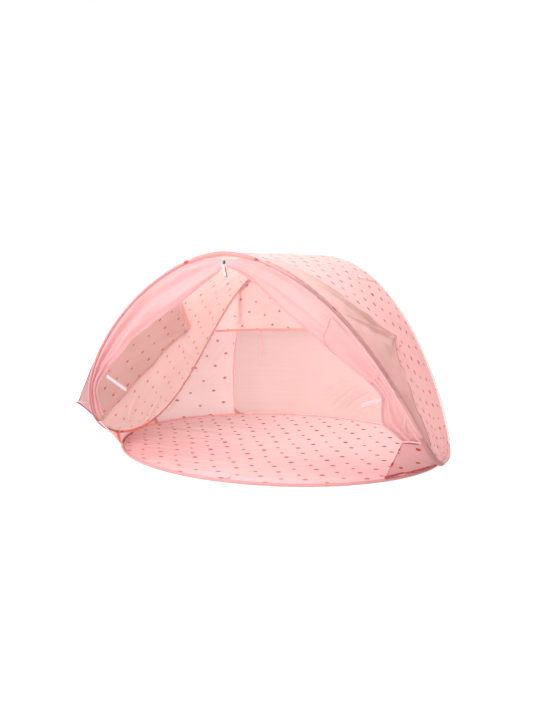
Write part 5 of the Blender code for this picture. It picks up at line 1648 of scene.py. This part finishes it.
# strips inside the left wall along the flap's lower edge and by its tip: painted shadow, standing for the flap's edge
# tapes showing darker through the wall
for tag, pts, wd, mat in (("lower", [(0.2573, 0.0576), (0.2777, 0.1178), (0.3077, 0.193), (0.3431, 0.2957), (0.3914, 0.3935),
                                     (0.4215, 0.4660), (0.4794, 0.5350), (0.5041, 0.5890), (0.530, 0.645)], 0.0046, M_SHADE),
                          ("tip", [(0.552, 0.692), (0.590, 0.600), (0.631, 0.512), (0.673, 0.425)], 0.0082, M_SALMON)):
    st = spline(pts, 150)
    pp, nn = wall_at(st[:, 0], st[:, 1], -1, -0.0011)
    tt = unit(np.gradient(pp, axis=0))
    finish_piece(sweep("left_wall_%s_tape" % tag, pp, unit(np.cross(nn, tt)), nn, flat(wd, 0.0010), mat,
                       size=1 + 0.10 * noise(run_of(pp) / 0.012, 0.5, 256)), "tent", ())

# spare cloth folded round the foot of the front arch, with a dark stitched crease
q = np.linspace(0.085, 0.315, 60)
c = at(LF, q)
tt = tangent(LF, q)
ff = unit(np.array([0, -1.0, 0]) + tt * tt[:, 1:2])
sd = np.cross(ff, tt)
sd = sd * np.sign(sd[:, :1])
ph = np.radians(np.linspace(-75, 118, 26))


def round_arch(a, r):
    """Points beside the front arch: a, the angle from its front toward its outer side; r, the distance."""
    return c[:, None] + (ff[:, None] * np.cos(a)[None, :, None] + sd[:, None] * np.sin(a)[None, :, None]) * r[..., None]


Q, PH = np.meshgrid((q - q[0]) / (q[-1] - q[0]), ph, indexing="ij")
swell = np.sin(PI * Q) ** 0.7
r = 0.0060 + swell * (0.0016 + 0.0030 * np.exp(-((PH - 0.25) / 0.42) ** 2) + 0.0012 * noise(Q * 7, PH * 2, 261))
p = round_arch(ph, r)
p[..., 2] = np.maximum(p[..., 2], 0.0020)
nn = p - c[:, None]
ob = grid("right_foot_fold", p, np.stack([Q * 0.26, PH * 0.012], -1), M_FOLD, outward=unit(nn))
finish_piece(ob, "tent", ())
crease = p[4:-6, 17] + unit(nn[4:-6, 17]) * 0.0004
finish_piece(tube("right_foot_fold_crease", crease, 0.0010, M_LINE, 8, rough=0.25, k=262), "tent", ())
crease = p[4:-10, 7] + unit(nn[4:-10, 7]) * 0.0003
finish_piece(tube("right_foot_fold_seam", crease, 0.0008, M_EDGE, 8, rough=0.25, k=263), "tent", ())

# the curtain's bottom edge, bunched and turned under above the corner gusset
top_l = gussets["right"][-1]
k = np.linspace(0, 1, 60)
path = np.stack([np.interp(k, np.linspace(0, 1, len(top_l)), top_l[::-1, a]) for a in range(3)], 1)
path = path + np.array([0, -0.0046, 0.0016]) + np.array([0, 0, 0.0022]) * np.sin(PI * k)[:, None]
r = 0.0030 + 0.0010 * noise(k * 6, 0.5, 264)
finish_piece(tube("right_curtain_foot_roll", path, r * (0.35 + 0.65 * smooth(np.minimum(k, 1 - k) / 0.12)), M_PINCH, 10, rough=0.35, k=265),
             "tent", ())
# painted shade: a dark line tucked under the roll stands in for the shade in the pinch
under = path + np.array([0, -0.0026, -0.0042])
finish_piece(tube("right_curtain_foot_crease_shade", under[2:-10], 0.0010 + 0.0010 * np.sin(PI * k[2:-10]) ** 2, M_CREASE_SHADE, 8, rough=0.4, k=266), "tent", ())
hang = curtains["right"].reshape(-1, 3)
for n, pts in enumerate((((0.4905, 0.2040), (0.4870, 0.1924), (0.4842, 0.1796), (0.4840, 0.1635), (0.4860, 0.1521)),)):
    line = spline([(x, 0.0, z) for x, z in pts], 40)
    g = np.linspace(0, 1, len(line))
    near = np.argmin((hang[None, :, 0] - line[:, None, 0]) ** 2 + (hang[None, :, 2] - line[:, None, 2]) ** 2, axis=1)
    line[:, 1] = np.convolve(np.r_[[hang[near[0], 1]] * 3, hang[near, 1], [hang[near[-1], 1]] * 3], np.ones(7) / 7, "valid") - 0.0008
    finish_piece(tube("right_curtain_foot_pleat_%d" % (n + 1), line, 0.0036 * np.sin(PI * (0.04 + 0.92 * g)) ** 0.8, M_PLEAT, 12, rough=0.10, k=267 + n),
                 "tent", ())

# loose lower corner of the left flap, standing out past the arch leg
tip = np.array([-0.568, -0.315, 0.169])
v = np.linspace(0, 1, 70)
s = 0.285 + (0.575 - 0.285) * v
h = at(LF, s) * FLIP
tt = tangent(LF, s) * FLIP
o = unit((tip - h) - tt * (((tip - h) * tt).sum(-1, keepdims=True)))
a = h + o * (EDGE * 1.0)
w = 1 - np.abs(v - 0.135) / np.where(v < 0.135, 0.135, 0.865)
w = np.maximum(w, 0.02)
b = a * (1 - w[:, None]) + tip * w[:, None]
u = np.linspace(0, 1, 40)
p = a[:, None] * (1 - u[None, :, None]) + b[:, None] * u[None, :, None]
nn = normals(p)
nn = nn * np.sign((nn * np.array([-0.2, -1.0, 0])).sum(-1, keepdims=True))
U, V = np.meshgrid(u, v)
d = 0.0022 * np.sin(PI * U) * np.sin(PI * V) + 0.0012 * fbm(U * 3, V * 4, 271) * np.minimum(1, 6 * U * (1 - U))
p = p + nn * d[..., None]
ear = grid("left_flap_corner_sheet", p, np.stack([V * 0.24, U * 0.09], -1), M_EAR, outward=nn)
finish_piece(ear, "tent", ["left_flap_corner"])
i_tip = int(round(0.135 * 69))
for nm, seg, mat, r in (("upper", p[i_tip:, -1], M_EDGE, 0.0011), ("lower", p[:i_tip + 1, -1], M_HEM_RED, 0.0024)):
    finish_piece(tube("left_flap_corner_%s_hem" % nm, seg, r, mat, 10, rough=0.2, k=281), "tent", ())

g = np.linspace(0, 1, 50)
foot = a[int(round(0.20 * 69))]
line = tip * (1 - g[:, None]) + foot * g[:, None] + np.array([0.0, -0.0050, 0.0015]) * np.sin(PI * g)[:, None] + np.array([0.0, -0.0030, 0.0010])
finish_piece(tube("left_flap_corner_fold_edge", line, 0.0013 * (0.6 + 0.4 * np.sin(PI * g)), M_PALE, 10, rough=0.2, k=283), "tent", ())

# ------------------------------------------------------------------ curtain ties
for side, name, root, long_, drop, wd in ((1, "right", (0.4330, -0.36668, 0.2550), 0.058, 0.021, 0.0105),
                                           (-1, "left", (-0.4070, -0.3723, 0.2710), 0.078, 0.040, 0.0115)):
    root = np.array(root)
    end = root + np.array([-side * math.sqrt(long_ ** 2 - drop ** 2), 0, -drop])
    k = np.linspace(0, 1, 50)
    ax = unit(end - root)
    ac = unit(np.cross(ax, np.array([0, 1.0, 0])))
    wave = 0.0014 * np.sin(PI * k) + 0.0008 * noise(k * 5, 0.5, 291)
    e1 = np.tile(ac, (50, 1))
    e2 = np.tile([0, -1.0, 0], (50, 1))
    strands = ((-1, wd * 0.38), (1, wd * 0.38)) if side > 0 else ((0, wd * 0.85),)
    for n_s, (sgn, w_) in enumerate(strands):
        path = root + ax * (long_ * k)[:, None] + ac * (sgn * (wd * 0.25) * smooth(k / 0.2) + wave * 0.6)[:, None] \
            + np.array([0, -1.0, 0]) * (0.0010 * np.sin(2 * PI * k + sgn))[:, None]
        finish_piece(sweep("%s_tie_ribbon_%d" % (name, n_s + 1), path, e1, e2, flat(w_, 0.0009), M_TIE,
                           size=1 - 0.1 * k), name + "_tie", [name + "_curtain_tie"] if n_s == 0 else ())

# ------------------------------------------------------------------ blank tabs
def patch(name, c, u, v, nrm, w, h, thick, mat, body, nodes, k, curl=0.0010):
    """A small soft label: a thin closed rounded sheet, slightly curled."""
    nu, nv = 22, 14
    a, b = np.meshgrid(np.linspace(-1, 1, nu), np.linspace(-1, 1, nv), indexing="ij")
    x = a * (w / 2) * (1 - 0.03 * b ** 4)
    y = b * (h / 2) * (1 - 0.04 * a ** 6)
    z = curl * (a ** 2) * 0.6 + 0.0003 * noise(a * 2, b * 2, k)
    mid = c + u * x[..., None] + v * y[..., None] + nrm * z[..., None]
    topg, lowg = mid + nrm * (thick / 2), mid - nrm * (thick / 2)
    verts = np.concatenate([topg.reshape(-1, 3), lowg.reshape(-1, 3)])
    half_ = nu * nv
    fs = grid_faces(nu, nv)
    faces = list(fs) + [tuple(i + half_ for i in f)[::-1] for f in fs]
    rim_ = ([(i, 0) for i in range(nu)] + [(nu - 1, j) for j in range(1, nv)] + [(i, nv - 1) for i in range(nu - 2, -1, -1)]
            + [(0, j) for j in range(nv - 2, 0, -1)])
    for (i, j), (k2, l) in zip(rim_, rim_[1:] + rim_[:1]):
        a_, b_ = i * nv + j, k2 * nv + l
        faces.append((b_, a_, a_ + half_, b_ + half_))
    e = np.cross(topg[1, 0] - topg[0, 0], topg[0, 1] - topg[0, 0])
    if e @ nrm < 0:
        faces = [f[::-1] for f in faces]
    uv = np.concatenate([np.stack([x, y], -1).reshape(-1, 2)] * 2)
    return finish_piece(build(name, verts, faces, uv, mat), body, nodes)


patch("floor_mat_tab", np.array([-0.006, -0.4020, 0.0098]), np.array([1.0, 0, 0]), np.array([0, 1.0, 0]), np.array([0, 0, 1.0]),
      0.034, 0.016, 0.0008, M_TAG, "tent", ["floor_tab"], 301)
bp, bn = wall_frame(np.array(0.769), np.array(0.78))
tu = unit(wall_base(np.array(0.769), np.array(0.90)) - wall_base(np.array(0.769), np.array(0.70)))
tv = np.cross(bn, tu)
patch("roof_label", bp + bn * 0.0026, tu, tv, bn, 0.020, 0.012, 0.0007, M_TAG, "tent", ["roof_tag"], 302)
# short seam tape from the label to the rear arch
t = np.linspace(0.80, 0.992, 40)
s = np.linspace(0.762, 0.735, 40)
pp, nn = wall_at(s, t, 1, 0.0007)
tt = unit(np.gradient(pp, axis=0))
ac = unit(np.cross(nn, tt))
finish_piece(sweep("roof_seam_tape", pp, ac, nn, flat(0.0056, 0.0011), M_END, size=0.35 + 0.65 * smooth(np.linspace(0, 1, 40) / 0.6)),
             "tent", ())

# ------------------------------------------------------------------ stage, light and camera
def disc(name, r, z, mat):
    a = np.linspace(0, 2 * PI, 96, endpoint=False)
    verts = [(0, 0, z)] + [(r * math.cos(x), r * math.sin(x), z) for x in a]
    faces = [(0, 1 + k, 1 + (k + 1) % 96) for k in range(96)]
    return build(name, verts, faces, np.asarray(verts)[:, :2], mat)


N = Nodes("stage_white")
df = N.add("ShaderNodeBsdfDiffuse")
df.inputs["Color"].default_value = (0.30, 0.30, 0.30, 1)
glow = N.add("ShaderNodeEmission")
glow.inputs["Color"].default_value = (1, 1, 1, 1)
glow.inputs["Strength"].default_value = 0.85
both = N.add("ShaderNodeAddShader")
N.nt.links.new(df.outputs[0], both.inputs[0])
N.nt.links.new(glow.outputs[0], both.inputs[1])
stage_mat = N.out(both.outputs[0])
floor = disc("stage_floor", 30.0, -0.0006, stage_mat)
floor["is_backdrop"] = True

world = bpy.data.worlds.new("studio")
world.use_nodes = True
bg = world.node_tree.nodes["Background"]
bg.inputs["Color"].default_value = (1, 1, 1, 1)
bg.inputs["Strength"].default_value = 1.0
bpy.context.scene.world = world

for name, energy, angle, toward_light in (("soft_top", 5.0, 60, (-0.08, 0.02, 1.0)), ("soft_front", 3.0, 40, (-0.20, -0.97, 0.12)),
                                          ("soft_high", 2.2, 40, (-0.38, -0.75, 0.54))):
    sun = bpy.data.lights.new(name, "SUN")
    sun.energy = energy
    sun.angle = math.radians(angle)
    so = bpy.data.objects.new(name, sun)
    bpy.context.scene.collection.objects.link(so)
    so.rotation_mode = "QUATERNION"
    so.rotation_quaternion = Vector(toward_light).normalized().to_track_quat("Z", "Y")

sc = bpy.context.scene
sc.view_settings.view_transform = "Standard"
sc.view_settings.look = "None"
sc.view_settings.exposure = 0.0
sc.view_settings.gamma = 1.0

az, el, roll = math.radians(21.995), math.radians(7.850), math.radians(-0.507)
back = Vector((math.sin(az) * math.cos(el), -math.cos(az) * math.cos(el), math.sin(el)))
right = Vector((math.cos(az), math.sin(az), 0))
upv = back.cross(right)
r2 = right * math.cos(roll) + upv * math.sin(roll)
u2 = upv * math.cos(roll) - right * math.sin(roll)
cam = bpy.data.cameras.new("photo_view")
cam.lens = 35.775
cam.sensor_width = 36.0
cam.sensor_fit = "AUTO"
cam.clip_start, cam.clip_end = 0.05, 100
co = bpy.data.objects.new("photo_view", cam)
bpy.context.scene.collection.objects.link(co)
m = Matrix((r2, u2, back)).transposed().to_4x4()
m.translation = Vector((0.8300, -2.1448, 0.6198))
co.matrix_world = m
sc.camera = co

lo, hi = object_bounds()
